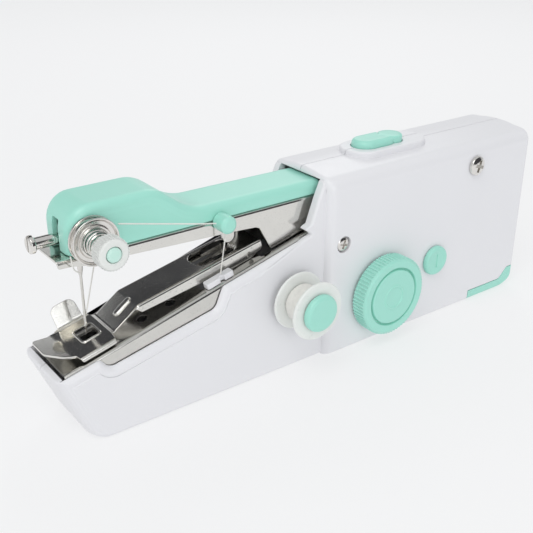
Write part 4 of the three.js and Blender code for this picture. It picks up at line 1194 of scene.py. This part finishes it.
class MACHINE_OT_adapter_plug(bpy.types.Operator):
    """Rubber plug in the adapter socket, with a soft rim and a grip slit"""

    bl_idname = "machine.adapter_plug"
    bl_label = "Adapter plug"
    bl_options = {"REGISTER", "UNDO"}

    def execute(self, context):
        face = -BODY_HALF - 0.3
        profile = soft_profile([
            (0, face - 1.55), (3.6, face - 1.6, 1.0), (4.9, face - 1.85, 0.8),
            (5.8, face - 1.6, 0.7), (6.0, face - 0.8, 0.3), (6.0, face), (2.4, face),
            (2.4, face + 7, 0.4), (0, face + 7),
        ])
        piece = lathe("plug", profile, PLUG, 72)
        x, z = PLUG
        slit = [(x - 0.4, z - 2.7), (x + 0.4, z - 2.7), (x + 0.4, z + 2.7), (x - 0.4, z + 2.7)]
        carve(piece, [pillow("slit", slit, "y", face - 3, face - 1.3)])
        soften(piece, 0.1, 2, 45)
        settle(piece, "adapter_plug_cap", "mint_matte", "plug", ["adapter_plug"])
        return {"FINISHED"}


class MACHINE_OT_bobbin(bpy.types.Operator):
    """Clear bobbin wound with thread, its cap and the brake spring behind it"""

    bl_idname = "machine.bobbin"
    bl_label = "Bobbin"
    bl_options = {"REGISTER", "UNDO"}

    def execute(self, context):
        flange, hub, bore = 10.6, 3.8, 2.9
        front, back = -28.5, -17.0
        profile = [
            (bore, front), (flange - 0.4, front, 0.3), (flange, front + 0.45, 0.3),
            (flange, front + 0.95, 0.3), (flange - 0.5, front + 1.2, 0.2),
            (hub, front + 1.4, 0.3), (hub, back - 1.4, 0.3), (flange - 0.5, back - 1.2, 0.2),
            (flange, back - 0.95, 0.3), (flange, back - 0.4, 0.3), (flange - 0.4, back, 0.2),
            (bore, back),
        ]
        spool = lathe("spool", soft_profile(profile), BOBBIN, 96)
        settle(spool, "bobbin_spool", "frosted", "bobbin", ["bobbin"])
        self.wind(hub, front + 1.75, back - 1.75)
        lid = soft_profile([
            (0, -31.2), (5.4, -31.2, 0.6), (6.5, -30.75, 0.6), (6.8, -30.0, 0.4),
            (6.8, -29.1, 0.2), (6.5, -28.95), (0, -28.95),
        ])
        cap = lathe("cap", lid, BOBBIN, 72)
        settle(cap, "bobbin_lid", "mint_shell", "spindle", ["bobbin_cap"])
        x, z = BOBBIN
        brake = coil("brake", "y", (x, -16.55, z), 3.0, 3.9, 7.9, 1.75, 0.3, "bright", 8, 40)
        settle(brake, "bobbin_brake_spring", "bright", "housing",
               ["bobbin_spring"])
        return {"FINISHED"}

    def wind(self, hub, low, high):
        """The wound thread: a solid core under a crossing outer layer of turns."""
        core_profile = [
            (hub + 0.3, low), (6.3, low), (6.65, low + 0.6), (6.65, high - 0.6), (6.3, high),
            (hub + 0.3, high),
        ]
        core = lathe("core", core_profile, BOBBIN, 72)
        x, z = BOBBIN
        turns = sizes().winding_turns * 1.5
        layers = [core]
        for lift, share in ((0.0, 1.0), (0.14, 0.86)):
            reach = (high - low - 0.4) * share
            layers.append(coil(
                "turns", "y", (x, (low + high - reach) / 2, z), turns * share, 6.6 + lift,
                6.6 + lift, reach, 0.19, "yarn", 6, 44,
            ))
        piece = joined("winding", layers)
        settle(piece, "bobbin_winding", "yarn", "bobbin", ["bobbin_thread"], 60)


# ---------------------------------------------------------------- bed and guide


class MACHINE_OT_bed(bpy.types.Operator):
    """Sloping steel bed channel and the white thread guide on it"""

    bl_idname = "machine.bed"
    bl_label = "Bed"
    bl_options = {"REGISTER", "UNDO"}

    def execute(self, context):
        sheet = channel("bed", BED_HALF, 0.0, BED_SHEET, 14.0, 0.0, BED_LENGTH, 1.5)
        side = [
            (2.5, -5.5, 2), (6, -8.5, 2), (92, -8.5, 2), (96, -12.5, 2), (BED_LENGTH, -12.5),
            (BED_LENGTH, 1), (-0.5, 1), (-0.5, -1.2), (2.5, -1.2),
        ]
        keep = pillow("keep", side, "y", -20, 20)
        carve(sheet, [keep], "INTERSECT")
        ears = [box(72.5, 76.5, y - 0.5, y + 0.5, -0.9, 3.2) for y in (-5.1, 5.1)]
        lugs = [box(u - 1, u + 1, 2.4, 7.6, -8.1, -0.5) for u in (21, 52)]
        carve(sheet, ears + lugs, "UNION")
        pivot_u, pivot_w = self.bed_place(PIVOT)
        screw_u, screw_w = self.bed_place(FRONT_SCREW)
        cuts = [
            box(10.2, 17.6, -3, 3, -5, 1),
            box(77.7, BED_LENGTH + 1, -9.7, 9.7, -5, 1),
            box(57, 78.7, -4.2, 4.2, -5, 1),
            rod("z", (31.4, -5.5), 1.8, -5, 1),
            rod("z", (42.2, -5.8), 1.8, -5, 1),
            rod("y", (74.5, 1.6), 1.3, -20, 20),
            rod("x", (5.0, -5.5), 1.7, 15, 60),
            rod("y", (pivot_u, pivot_w), 1.8, -20, 20),
            rod("y", (screw_u, screw_w), 1.6, -20, 0),
        ]
        carve(sheet, cuts)
        soften(sheet, 0.14, 2, 40)
        on_the_bed(sheet)
        settle(sheet, "bed_plate", "steel", "housing", ["bed_channel"])
        blank = [(54.2, -11.3, 0.6), (65, -11.3, 0.6), (65, -8.3, 0.6), (54.2, -8.3, 0.6)]
        guide = pillow("guide", blank, "z", GAP, 2.3, None, 0.35, steps=4)
        notch = [(59.4, -12), (61.2, -12), (61.2, -10.2, 0.7), (59.4, -10.2, 0.7)]
        carve(guide, [pillow("notch", notch, "z", -1, 4)])
        soften(guide, 0.12, 2, 45)
        on_the_bed(guide)
        settle(guide, "thread_guide", "guide_white", "housing",
               ["thread_guide_block"])
        return {"FINISHED"}

    @staticmethod
    def bed_place(point):
        """(x, z) on the machine as (u, w) on the bed."""
        dx, dz = point[0] - BED_X, point[1] - BED_Z
        u = dx * math.cos(BED_TILT) + dz * math.sin(BED_TILT)
        return u, dz * math.cos(BED_TILT) - dx * math.sin(BED_TILT)


# ---------------------------------------------------------------- presser foot


def bend_path(corners):
    """Samples a path of (u, w, radius) corners: (distance, u, w, direction) at each step."""
    flat = soft_profile([(c[0], c[1], c[2]) if len(c) > 2 else c for c in corners], 8)
    table, walked = [], 0.0
    for i, (u, w) in enumerate(flat):
        if i:
            walked += math.hypot(u - flat[i - 1][0], w - flat[i - 1][1])
        ahead = flat[min(i + 1, len(flat) - 1)]
        behind = flat[max(i - 1, 0)]
        table.append((walked, u, w, math.atan2(ahead[1] - behind[1], ahead[0] - behind[0])))
    return table


def along_path(table, s, lift):
    """Point at distance s along a sampled path, lifted off it."""
    s0, u0, w0, a0 = table[0]
    if s <= s0:
        return (u0 + (s - s0) * math.cos(a0) - lift * math.sin(a0),
                w0 + (s - s0) * math.sin(a0) + lift * math.cos(a0))
    for (s0, u0, w0, a0), (s1, u1, w1, a1) in zip(table, table[1:]):
        if s <= s1:
            t = (s - s0) / (s1 - s0) if s1 > s0 else 0
            angle = a0 + (a1 - a0) * t
            return (u0 + (u1 - u0) * t - lift * math.sin(angle),
                    w0 + (w1 - w0) * t + lift * math.cos(angle))
    s1, u1, w1, a1 = table[-1]
    return (u1 + (s - s1) * math.cos(a1) - lift * math.sin(a1),
            w1 + (s - s1) * math.sin(a1) + lift * math.cos(a1))


def folded(y, lift, line, radius, angle):
    """A point of a flat blank, y across and lift above it, folded about a line along X.

    A positive angle folds the part past the line upwards; line's sign gives the side."""
    side = 1 if line > 0 else -1
    past = side * y - abs(line)
    if past <= 0:
        return y, lift
    up = 1 if angle > 0 else -1
    turn = abs(angle)
    reach = radius * turn
    centre = up * radius
    around = min(past / reach, 1.0) * turn
    spare = max(past - reach, 0.0)
    arm = centre - lift
    out = abs(line) + up * arm * math.sin(around) + spare * math.cos(around)
    rise = centre - arm * math.cos(around) + up * spare * math.sin(around)
    return side * out, rise


class MACHINE_OT_presser(bpy.types.Operator):
    """Presser foot and its spring bar, folded from one sheet, with the torsion spring round its pin
    """

    bl_idname = "machine.presser"
    bl_label = "Presser foot"
    bl_options = {"REGISTER", "UNDO"}

    def execute(self, context):
        sheet = 0.8
        profile = [
            (-1.2, 5.0), (5.6, 2.8, 6), (19.6, 2.8, 1.2), (20.9, 2.1, 1), (31, 6.2, 2.5),
            (81, 4.7),
        ]
        table = bend_path(profile)
        blank = [
            (-1.2, -2.4, 2.6), (3.2, -7.2, 4), (6.7, -8.9), (7.3, -13.0, 0.6),
            (19.2, -13.0, 0.8), (20.2, -7, 0.5), (30.8, -7), (31.8, -9.6, 0.5), (71, -11.6),
            (76, -11.6, 1.5), (81.6, -10.2, 1.5),
            (81.6, 10.2, 1.5), (76, 11.6, 1.5), (71, 11.6), (31.8, 9.6, 0.5), (30.8, 7),
            (20.2, 7, 0.5), (19.2, 8.3), (17.8, 8.6), (17.5, 15.6, 2.6), (9, 15.6, 2.6),
            (8.7, 8.6), (7.3, 8.3), (6.4, 7.6), (-1.2, 6.9, 1.2),
        ]
        foot = pillow("foot", blank, "z", -sheet, 0, steps=5)
        window = [(11.5, -4.6, 0.8), (17.4, -4.6, 0.8), (17.4, 2.8, 0.8), (11.5, 2.8, 0.8)]
        oval = [(57.5, -5.4, 4), (74.3, -5.4, 4), (74.3, 5.4, 4), (57.5, 5.4, 4)]
        cuts = [
            pillow("window", window, "z", -2, 2, steps=5),
            pillow("oval", oval, "z", -2, 2, steps=9),
        ]
        carve(foot, cuts)
        self.slice_folds(foot, table)
        soften(foot, 0.16, 2, 40)

        def fold(point):
            u, y, lift = point
            if u < 20.0:
                y, lift = folded(y, lift, -11.0, 0.9, -1.35)
                y, lift = folded(y, lift, 7.3, 1.4, 1.2)
            elif u > 30.5:
                y, lift = folded(y, lift, -6.3, 0.9, -1.5)
                y, lift = folded(y, lift, 6.3, 0.9, -1.5)
            a, w = along_path(table, u + 1.2, lift)
            return bed_point((a, y, w))

        turn_out(reshape(foot, fold))
        rib = pillow("rib", stadium(26.2, 31.4, 1.25, 8), "z", -0.4, 0.7, None, 0.62, steps=5)
        reshape(rib, lambda p: Vector((p.x, p.y - 1.2, p.z)))
        outer = [(10.8, -5.3, 1.4), (18.1, -5.3, 1.4), (18.1, 3.5, 1.4), (10.8, 3.5, 1.4)]
        frame_rim = pillow("frame_rim", outer, "z", -0.3, 0.4, None, 0.38, steps=5)
        carve(frame_rim, [pillow("hole", window, "z", -2, 2, steps=5)])
        soften(frame_rim, 0.14, 2, 40)

        def lay(point):
            a, w = along_path(table, point.x + 1.2, point.z)
            return bed_point((a, point.y, w))

        turn_out(reshape(rib, lay))
        turn_out(reshape(frame_rim, lay))
        piece = joined("foot", [foot, rib, frame_rim])
        settle(piece, "presser_sheet", "bright_steel", "presser",
               ["presser_foot"], 34)
        pin_x, pin_z = on_bed(74.5, 1.6)
        turns = coil("torsion", "y", (pin_x, -3.5, pin_z), 7, 1.75, 1.75, 7.0, 0.4, "bright", 8)
        settle(turns, "presser_torsion_spring", "bright", "housing",
               ["presser_spring"])
        return {"FINISHED"}

    @staticmethod
    def slice_folds(foot, table):
        """Cuts extra edge lines into the blank where it will be folded or rolled."""
        work = bmesh.new()
        work.from_mesh(foot.data)
        lines = [(Vector((s - 1.2, 0, 0)), Vector((1, 0, 0))) for s, _, _, _ in table[1:-1]]
        for line in (-12.9, -12.5, -12.1, -11.7, -11.3, -11.0, 7.3, 7.7, 8.1, 8.5, 8.9, 9.3):
            lines.append((Vector((0, line, 0)), Vector((0, 1, 0))))
        for line in (6.3, 6.6, 6.9, 7.2, 7.5, 7.8):
            lines.append((Vector((0, -line, 0)), Vector((0, 1, 0))))
            lines.append((Vector((0, line, 0)), Vector((0, 1, 0))))
        for place, normal in lines:
            everything = work.verts[:] + work.edges[:] + work.faces[:]
            bmesh.ops.bisect_plane(
                work, geom=everything, plane_co=place, plane_no=normal, dist=1e-5
            )
        work.to_mesh(foot.data)
        work.free()


# ---------------------------------------------------------------- needle arm


def cover_outline(inset=0.0):
    top, i = 77.5 - inset, inset
    return [
        (-92.6 + i, 62.6 + (0 if i == 0 else -1)), (2 - i, 62.6 + (0 if i == 0 else -1)),
        (2 - i, 67.4 - i, 0.8), (-50.2, 67.95 - i, 18 + i), (-62.6, top, 12 - i),
        (-92.6 + i, top, 8 - i),
    ]


class MACHINE_OT_arm(bpy.types.Operator):
    """Steel needle arm and the moulded cover over it"""

    bl_idname = "machine.arm"
    bl_label = "Needle arm"
    bl_options = {"REGISTER", "UNDO"}

    def execute(self, context):
        arm = channel("arm", ARM_HALF, ARM_DECK, 1.0, 19.0, -97.0, 22.0, 1.3)
        side = [
            (-96.3, 59.9, 0.5), (-92, 59.7), (-88.4, 59.0, 2), (-83.3, 57.7, 3), (-77.5, 58.7, 3),
            (-34.6, 56.6), (-25.9, 56, 2.5), (-24.2, 55.2), (-20, 47.3), (-18.8, 46.1, 1.2),
            (-10, 48.2), (0, 44.8, 2), (17, 44, 3), (20.6, 47, 3), (18.6, 52, 3), (8.8, 63),
            (-96.9, 63),
        ]
        carve(arm, [pillow("profile", side, "y", -12, 12, steps=5)], "INTERSECT")
        ears = []
        for y in (-4.2, 4.2):
            tab = [(-36.4, 51.2, 2.2), (-31.8, 51.2, 2.2), (-31.8, 62.0), (-36.4, 62.0)]
            ears.append(pillow("ear", tab, "y", y - 0.5, y + 0.5, steps=6))
        carve(arm, ears, "UNION")
        cuts = [
            box(4, 24, -7.95, 7.95, 58, 64),
            rod("z", (NEEDLE_X, 0), 1.6, 56, 64, 28),
            rod("y", PIVOT, 1.8, -12, 12, 28),
            rod("y", TAIL, 1.8, -12, 12, 28),
        ]
        carve(arm, cuts)
        soften(arm, 0.16, 2, 40)
        settle(arm, "arm_channel", "bright_steel", "arm", ["arm_frame"])
        self.cover()
        return {"FINISHED"}

    @staticmethod
    def cover():
        edge = sizes().arm_edge / MM
        step = [(0.0, edge + 1.7), (0.12, edge + 0.5), (0.13, edge)]
        step += [(0.13 + depth, inset) for depth, inset in rounding(edge, 7)[1:]]
        rims = [0.5, 0.6, step, step, step, 4.2]
        cover = pillow(
            "cover", cover_outline(), "y", -COVER_HALF, COVER_HALF, rims, rims, steps=9, edges=7
        )
        inner = COVER_HALF - COVER_WALL
        space = pillow("space", cover_outline(COVER_WALL), "y", -inner, inner, 1.2, 1.2, steps=8)
        slot = pillow(
            "slot",
            [(-SLOT_HALF, 60), (SLOT_HALF, 60), (SLOT_HALF, SLOT_TOP, 0.7),
             (-SLOT_HALF, SLOT_TOP, 0.7)],
            "x", -96, -88,
        )
        bores = [
            rod("y", TENSION, 1.6, -10.5, -6, 24),
        ]
        carve(cover, [space, slot, *bores])
        soften(cover, 0.16, 2, 40)
        settle(cover, "arm_shell", "mint_shell", "arm", ["arm_cover"], 30)


class MACHINE_OT_needle(bpy.types.Operator):
    """Needle with its groove and eye, and the slotted clamp screw"""

    bl_idname = "machine.needle"
    bl_label = "Needle"
    bl_options = {"REGISTER", "UNDO"}

    def execute(self, context):
        tip = NEEDLE_TIP
        profile = soft_profile([
            (0, tip), (0.16, tip + 0.9, 0.2), (0.45, tip + 4.0, 2), (0.45, 51.6, 0.5),
            (0.9, 54.2, 1), (0.9, 68.3, 0.2), (0.6, 68.5), (0, 68.5),
        ])
        needle = lathe("needle", profile, (NEEDLE_X, 0), 32, "z")
        x = NEEDLE_X
        groove = box(x - 0.14, x + 0.14, -1.2, -0.24, tip + 4.2, 50)
        eye = pillow("eye", stadium(tip + 4.4, tip + 5.4, 0.2, 6), "y", -2, 2)
        reshape(eye, lambda p: Vector((p.z + x, p.y, p.x)))
        turn_out(eye)
        carve(needle, [groove, eye])
        settle(needle, "needle_shaft", "bright", "arm", ["needle"])
        face = -101.4
        head = soft_profile([
            (0, face), (2.35, face, 0.3), (2.85, face + 0.45, 0.3), (2.85, face + 1.5, 0.3),
            (2.6, face + 1.8), (1.85, face + 1.8), (1.85, -93.5, 0.2), (1.7, -93.3),
            (1.7, -87.4, 0.3), (0, -87.2),
        ])
        screw = lathe("clamp", head, (0, 65.8), 56, "x")
        carve(screw, [box(face - 1, face + 0.6, -0.3, 0.3, 61.8, 69.8)])
        soften(screw, 0.1, 2, 45)
        settle(screw, "clamp_screw_head", "bright", "clamp_screw",
               ["needle_clamp_screw"])
        return {"FINISHED"}


class MACHINE_OT_tension(bpy.types.Operator):
    """Thread tension: two dished discs, a coil spring, the slotted post and the ribbed knob"""

    bl_idname = "machine.tension"
    bl_label = "Thread tension"
    bl_options = {"REGISTER", "UNDO"}

    def execute(self, context):
        x, z = TENSION
        inner = -COVER_HALF - GAP
        for name, y, sign, node in (
            ("disc_back", inner - 1.3, -1, "tension_disc_inner"),
            ("disc_front", inner - 2.1, 1, "tension_disc_outer"),
        ):
            profile = soft_profile([
                (2.6, y), (5.2, y, 0.3), (6.9, y - sign * 0.65, 0.3), (7.4, y - sign * 0.65, 0.2),
                (7.5, y - sign * 1.25, 0.15), (7.0, y - sign * 1.3, 0.2),
                (6.4, y - sign * 0.5, 0.3), (5.3, y - sign * 0.35, 0.15),
                (4.9, y - sign * 1.1, 0.2), (4.3, y - sign * 1.1, 0.2),
                (4.0, y - sign * 0.4, 0.2), (2.6, y - sign * 0.4),
            ])
            disc_piece = lathe(name, profile, TENSION, 96)
            settle(disc_piece, name, "bright", "arm", [node])
        start, end = inner - 3.3, -16.9
        spring = coil("spring", "y", (x, end, z), 3.6, 2.95, 3.9, start - end, 0.36, "bright")
        settle(spring, "tension_coil", "bright", "arm", ["tension_spring"])
        self.post(inner)
        self.knob()
        return {"FINISHED"}

    @staticmethod
    def post(inner):
        profile = soft_profile([
            (0, -22.0), (1.3, -22.0), (1.3, -19.1), (2.3, -19.1, 0.2), (2.3, inner),
            (1.3, inner), (1.3, -COVER_HALF + COVER_WALL), (0, -COVER_HALF + COVER_WALL),
        ])
        post = lathe("post", profile, TENSION, 48)
        x, z = TENSION
        carve(post, [box(x - 3, x + 3, -18.6, inner - 0.6, z - 0.3, z + 0.3)])
        settle(post, "tension_post_slit", "mint_shell", "arm", ["tension_post"])

    @staticmethod
    def knob():
        profile = soft_profile([
            (1.6, -19.4), (4.6, -19.4, 0.3), (4.9, -19.8, 0.2), (4.9, -23.5, 0.3),
            (4.4, -24.0, 0.3), (2.6, -24.0, 0.15), (2.45, -23.6), (2.45, -22.6), (1.6, -22.6),
        ])
        drum = lathe("drum", profile, TENSION, 96)
        count = sizes().knob_ridges
        ribs = ridges("ribs", count, 4.85, 0.25, 3.9, TENSION, -21.7, "frosted")
        knob = joined("knob", [drum, ribs])
        settle(knob, "knob_drum", "frosted", "knob", ["tension_knob"])
        face = soft_profile([
            (0, -24.45), (1.7, -24.4, 0.5), (2.3, -24.0, 0.4), (2.3, -22.9), (0, -22.9),
        ])
        insert = lathe("insert", face, TENSION, 48)
        settle(insert, "knob_insert", "pale_mint", "knob",
               ["tension_knob_insert"])


class MACHINE_OT_guide_peg(bpy.types.Operator):
    """Round-edged thread guide peg on the arm"""

    bl_idname = "machine.guide_peg"
    bl_label = "Thread guide peg"
    bl_options = {"REGISTER", "UNDO"}

    def execute(self, context):
        x, z = PEG
        profile = soft_profile([
            (0, -15.4), (2.0, -15.35, 0.6), (3.0, -14.5, 0.7), (3.0, -COVER_HALF - GAP, 0.2),
            (0, -COVER_HALF - GAP),
        ])
        peg = lathe("peg", profile, PEG, 56)
        root = rod("y", (x, z + 1.4), 1.5, -COVER_HALF - 0.8, -7.7, 24)
        carve(root, [box(x - 5, x + 5, -12, -5, 55, ARM_DECK + 0.6)])
        carve(peg, [root], "UNION")
        carve(peg, [rod("z", (x, -12.6), 0.5, z - 5, z - 1, 20)])
        settle(peg, "guide_peg", "mint_shell", "arm", ["thread_guide_peg"])
        return {"FINISHED"}


class MACHINE_OT_threads(bpy.types.Operator):
    """Thread from the bed's guide over the peg and tension to the needle, and its tail"""

    bl_idname = "machine.threads"
    bl_label = "Threads"
    bl_options = {"REGISTER", "UNDO"}

    def execute(self, context):
        guide_x, guide_z = on_bed(60.3, 2.4)
        runs = {
            "thread_guide_run": [(guide_x, -10.4, guide_z + 0.55), (-40.5, -12.6, 58.8)],
            "thread_arm_run": [
                (-44.05, -12.6, 63.0), (-52.5, -12.2, 64.8), (-77.55, -11.3, 70.6),
            ],
            "thread_needle_run": [
                (-93.35, -11.3, 64.2), (-92.65, -11.3, 60.0), (-88.2, -4.6, 54.6),
                (-86.75, -1.25, 49), (-86.4, -1, 34.7),
            ],
            "thread_tail": [(-82.4, -5, 60.75), (-84.1, -3, 49.9), (-85.8, -1, 39)],
        }
        for node, points in runs.items():
            path = smooth_path(points)
            piece = thread(node, path)
            moving = node == "thread_guide_run"
            piece.name = f"{node}_ply"
            self.place(piece, node, path, moving)
        return {"FINISHED"}

    @staticmethod
    def place(piece, node, path, moving):
        """Settles one run; the run that would bend with the arm is put on no body instead of riding
        one.
        """
        if not moving:
            settle(piece, f"{node}_ply", "yarn", "arm", [node], 60)
        else:
            piece.data.name = piece.name
            piece.data.transform(Matrix.Translation(ORIGIN) @ Matrix.Scale(MM, 4))
            piece.data.materials.clear()
            piece.data.materials.append(LOOKS["yarn"])
            piece.data.shade_smooth()
            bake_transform(piece)
            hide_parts(node)
        length = sum((b - a).length for a, b in zip(path, path[1:])) * MM
        if length < 0.03:
            return


class MACHINE_OT_battery_springs(bpy.types.Operator):
    """Four conical contact springs on the battery cover"""

    bl_idname = "machine.battery_springs"
    bl_label = "Battery springs"
    bl_options = {"REGISTER", "UNDO"}

    def execute(self, context):
        names = [f"battery_spring_{number}" for number in (1, 2, 3, 4)]
        springs = []
        for name in names:
            low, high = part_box(name)
            middle = ((low + high) / 2 - ORIGIN) / MM
            foot = (low.z - ORIGIN.z) / MM
            tall = (high.z - low.z) / MM
            springs.append(coil(
                name, "z", (middle.x, middle.y, foot + 0.35), 3.0, 3.2, 1.6, tall - 0.7, 0.35,
                "bright", 8, 24,
            ))
        piece = joined("springs", springs)
        settle(piece, "battery_coils", "bright", "cover", names)
        return {"FINISHED"}


class MACHINE_OT_inner_parts(bpy.types.Operator):
    """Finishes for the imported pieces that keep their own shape"""

    bl_idname = "machine.inner_parts"
    bl_label = "Inner parts"
    bl_options = {"REGISTER", "UNDO"}

    finishes = {
        "black": ("switch_body", "adapter_socket"),
        "nylon": ("main_gear", "idler_gear", "eccentric", "connecting_rod"),
        "brass": ("motor_pinion",),
        "sleeve": ("battery_1", "battery_2", "battery_3", "battery_4"),
        "steel": ("motor_can", "looper", "arm_pivot_pin", "tail_pin", "idler_axle",
                  "presser_pin", "crankshaft", "motor_shaft", "bobbin_spindle"),
        "bright": ("needle_clamp", "top_contact", "cover_contact_near", "cover_contact_far"),
    }

    def execute(self, context):
        for look, names in self.finishes.items():
            for name in names:
                piece = frame["nodes"][name]
                piece.data.materials.clear()
                piece.data.materials.append(LOOKS[look])
        return {"FINISHED"}


# ---------------------------------------------------------------- stage

# Each lamp: name, place in metres, width, power and tint
LAMPS = (
    ("key", (-0.45, -0.30, 0.80), 0.55, 2.4, (1.0, 0.985, 0.96)),
    ("fill", (-0.20, -0.85, 0.30), 0.60, 1.0, (0.97, 0.985, 1.0)),
    ("rim", (0.45, 0.55, 0.55), 0.45, 0.8, (1.0, 1.0, 1.0)),
)
LAMP_AIM = (-0.01, 0, 0.035)

# Camera: place on the machine's axes, and its azimuth, elevation and roll in degrees
CAMERA_PLACE = (-179.87, -221.47, 164.93)
CAMERA_TURN = (-36.72, 25.19, 0.22)
FOCAL_LENGTH = 56.98
SENSOR_WIDTH = 36

class MACHINE_OT_stage(bpy.types.Operator):
    """Pale floor, soft studio light and the camera"""

    bl_idname = "machine.stage"
    bl_label = "Stage"
    bl_options = {"REGISTER", "UNDO"}

    def execute(self, context):
        self.floor()
        self.surroundings(context.scene)
        for lamp in LAMPS:
            self.lamp(*lamp)
        self.dark_cards()
        self.camera(context.scene)
        context.scene.view_settings.view_transform = "Standard"
        return {"FINISHED"}

    @staticmethod
    def backdrop(name, corners, look):
        """One flat sheet of the studio."""
        mesh = bpy.data.meshes.new(name)
        mesh.from_pydata(corners, [], [(0, 1, 2, 3)])
        mesh.materials.append(look)
        piece = linked(name, mesh)
        return piece

    def floor(self):
        half, low = 4.0, -0.0002
        corners = [(-half, -half, low), (half, -half, low), (half, half, low), (-half, half, low)]
        made, graph, where = new_material("studio_floor")
        drift = graph.noise(where, 1.5, 2.0)
        surface(graph, {
            "Base Color": graph.blend(drift, (0.29, 0.292, 0.295), (0.31, 0.31, 0.312)),
            "Emission Color": (0.955, 0.958, 0.965, 1),
            "Emission Strength": 0.64,
            "Roughness": 0.75,
            "Specular IOR Level": 0.2,
        })
        self.backdrop("floor", corners, made)

    @staticmethod
    def surroundings(scene):
        world = bpy.data.worlds.new("studio")
        world.use_nodes = True
        world.node_tree.nodes.clear()
        graph = Graph(world.node_tree)
        seen = graph.node("ShaderNodeLightPath", output="Is Camera Ray")
        light = graph.node("ShaderNodeBackground",
                           inputs={"Color": (0.97, 0.985, 1.0, 1), "Strength": 0.66})
        paper = graph.node("ShaderNodeBackground",
                           inputs={"Color": (0.905, 0.913, 0.93, 1), "Strength": 1.0})
        mixed = graph.node("ShaderNodeMixShader", inputs={0: seen, 1: light, 2: paper})
        graph.node("ShaderNodeOutputWorld", inputs={"Surface": mixed})
        scene.world = world

    @staticmethod
    def lamp(name, place, size, power, tint):
        light = bpy.data.lights.new(name, "AREA")
        light.shape = "DISK"
        light.size = size
        light.energy = power
        light.color = tint
        piece = linked(name, light)
        piece.location = place
        aim = Vector(LAMP_AIM) - Vector(place)
        piece.rotation_euler = aim.to_track_quat("-Z", "Y").to_euler()

    def dark_cards(self):
        """Dark cards behind and beside the machine that only polished surfaces see."""
        cards = {
            "dark_card_high": [
                (-0.80, 0.72, 0.44), (0.36, 0.72, 0.44), (0.36, 0.46, 0.95), (-0.80, 0.46, 0.95),
            ],
            "dark_card_front": [
                (0.02, -0.62, 0.03), (0.75, -0.42, 0.03), (0.75, -0.36, 0.52), (0.02, -0.54, 0.52),
            ],
        }
        made, graph, where = new_material("dark_cloth")
        weave = graph.noise(where, 6.0)
        surface(graph, {
            "Base Color": graph.blend(weave, (0.025, 0.026, 0.03), (0.07, 0.07, 0.075)),
            "Roughness": 0.9,
        })
        for name, corners in cards.items():
            piece = self.backdrop(name, corners, made)
            piece.visible_camera = False
            piece.visible_diffuse = False
            piece.visible_shadow = False
            piece.visible_transmission = False

    @staticmethod
    def camera(scene):
        """Looks down along the needle arm's near side from the front left."""
        azimuth, elevation, roll = (math.radians(a) for a in CAMERA_TURN)
        back = Vector((
            math.sin(azimuth) * math.cos(elevation),
            -math.cos(azimuth) * math.cos(elevation),
            math.sin(elevation),
        ))
        right = (-back).cross(Vector((0, 0, 1))).normalized()
        up = right.cross(-back)
        c, s = math.cos(roll), math.sin(roll)
        right, up = c * right + s * up, c * up - s * right
        lens = bpy.data.cameras.new("studio_camera")
        lens.sensor_width = SENSOR_WIDTH
        lens.lens = FOCAL_LENGTH
        lens.clip_start = 0.01
        lens.clip_end = 30
        piece = linked("studio_camera", lens)
        place = framed(*CAMERA_PLACE)
        turn = Matrix((right, up, back)).transposed().to_4x4()
        piece.matrix_world = Matrix.Translation(place) @ turn
        scene.camera = piece


# ---------------------------------------------------------------- add-on


class MACHINE_PT_parts(bpy.types.Panel):
    """Sizes, colours and one button for each piece"""

    bl_idname = "MACHINE_PT_parts"
    bl_label = "Sewing machine"
    bl_space_type = "VIEW_3D"
    bl_region_type = "UI"
    bl_category = "Sewing machine"

    def draw(self, context):
        layout = self.layout
        for group in (context.scene.machine_sizes, context.scene.machine_colours):
            column = layout.column(align=True)
            for name in group.bl_rna.properties.keys():
                if name not in ("rna_type", "name"):
                    column.prop(group, name)
        for step in STEPS:
            layout.operator(step.bl_idname)


STEPS = (
    MACHINE_OT_stage,
    MACHINE_OT_threads,
    MACHINE_OT_housing,
    MACHINE_OT_switch,
    MACHINE_OT_screws,
    MACHINE_OT_handwheel,
    MACHINE_OT_adapter_plug,
    MACHINE_OT_bobbin,
    MACHINE_OT_bed,
    MACHINE_OT_presser,
    MACHINE_OT_arm,
    MACHINE_OT_needle,
    MACHINE_OT_tension,
    MACHINE_OT_guide_peg,
    MACHINE_OT_battery_springs,
    MACHINE_OT_inner_parts,
)
CLASSES = (MachineSizes, MachineColours, *STEPS, MACHINE_PT_parts)


def register():
    for item in CLASSES:
        bpy.utils.register_class(item)
    bpy.types.Scene.machine_sizes = PointerProperty(type=MachineSizes)
    bpy.types.Scene.machine_colours = PointerProperty(type=MachineColours)


def unregister():
    del bpy.types.Scene.machine_colours
    del bpy.types.Scene.machine_sizes
    for item in reversed(CLASSES):
        bpy.utils.unregister_class(item)


def main():
    register()
    make_looks()
    make_trees()
    for step in STEPS:
        group, name = step.bl_idname.split(".")
        getattr(getattr(bpy.ops, group), name)()


if __name__ == "__main__":
    main()
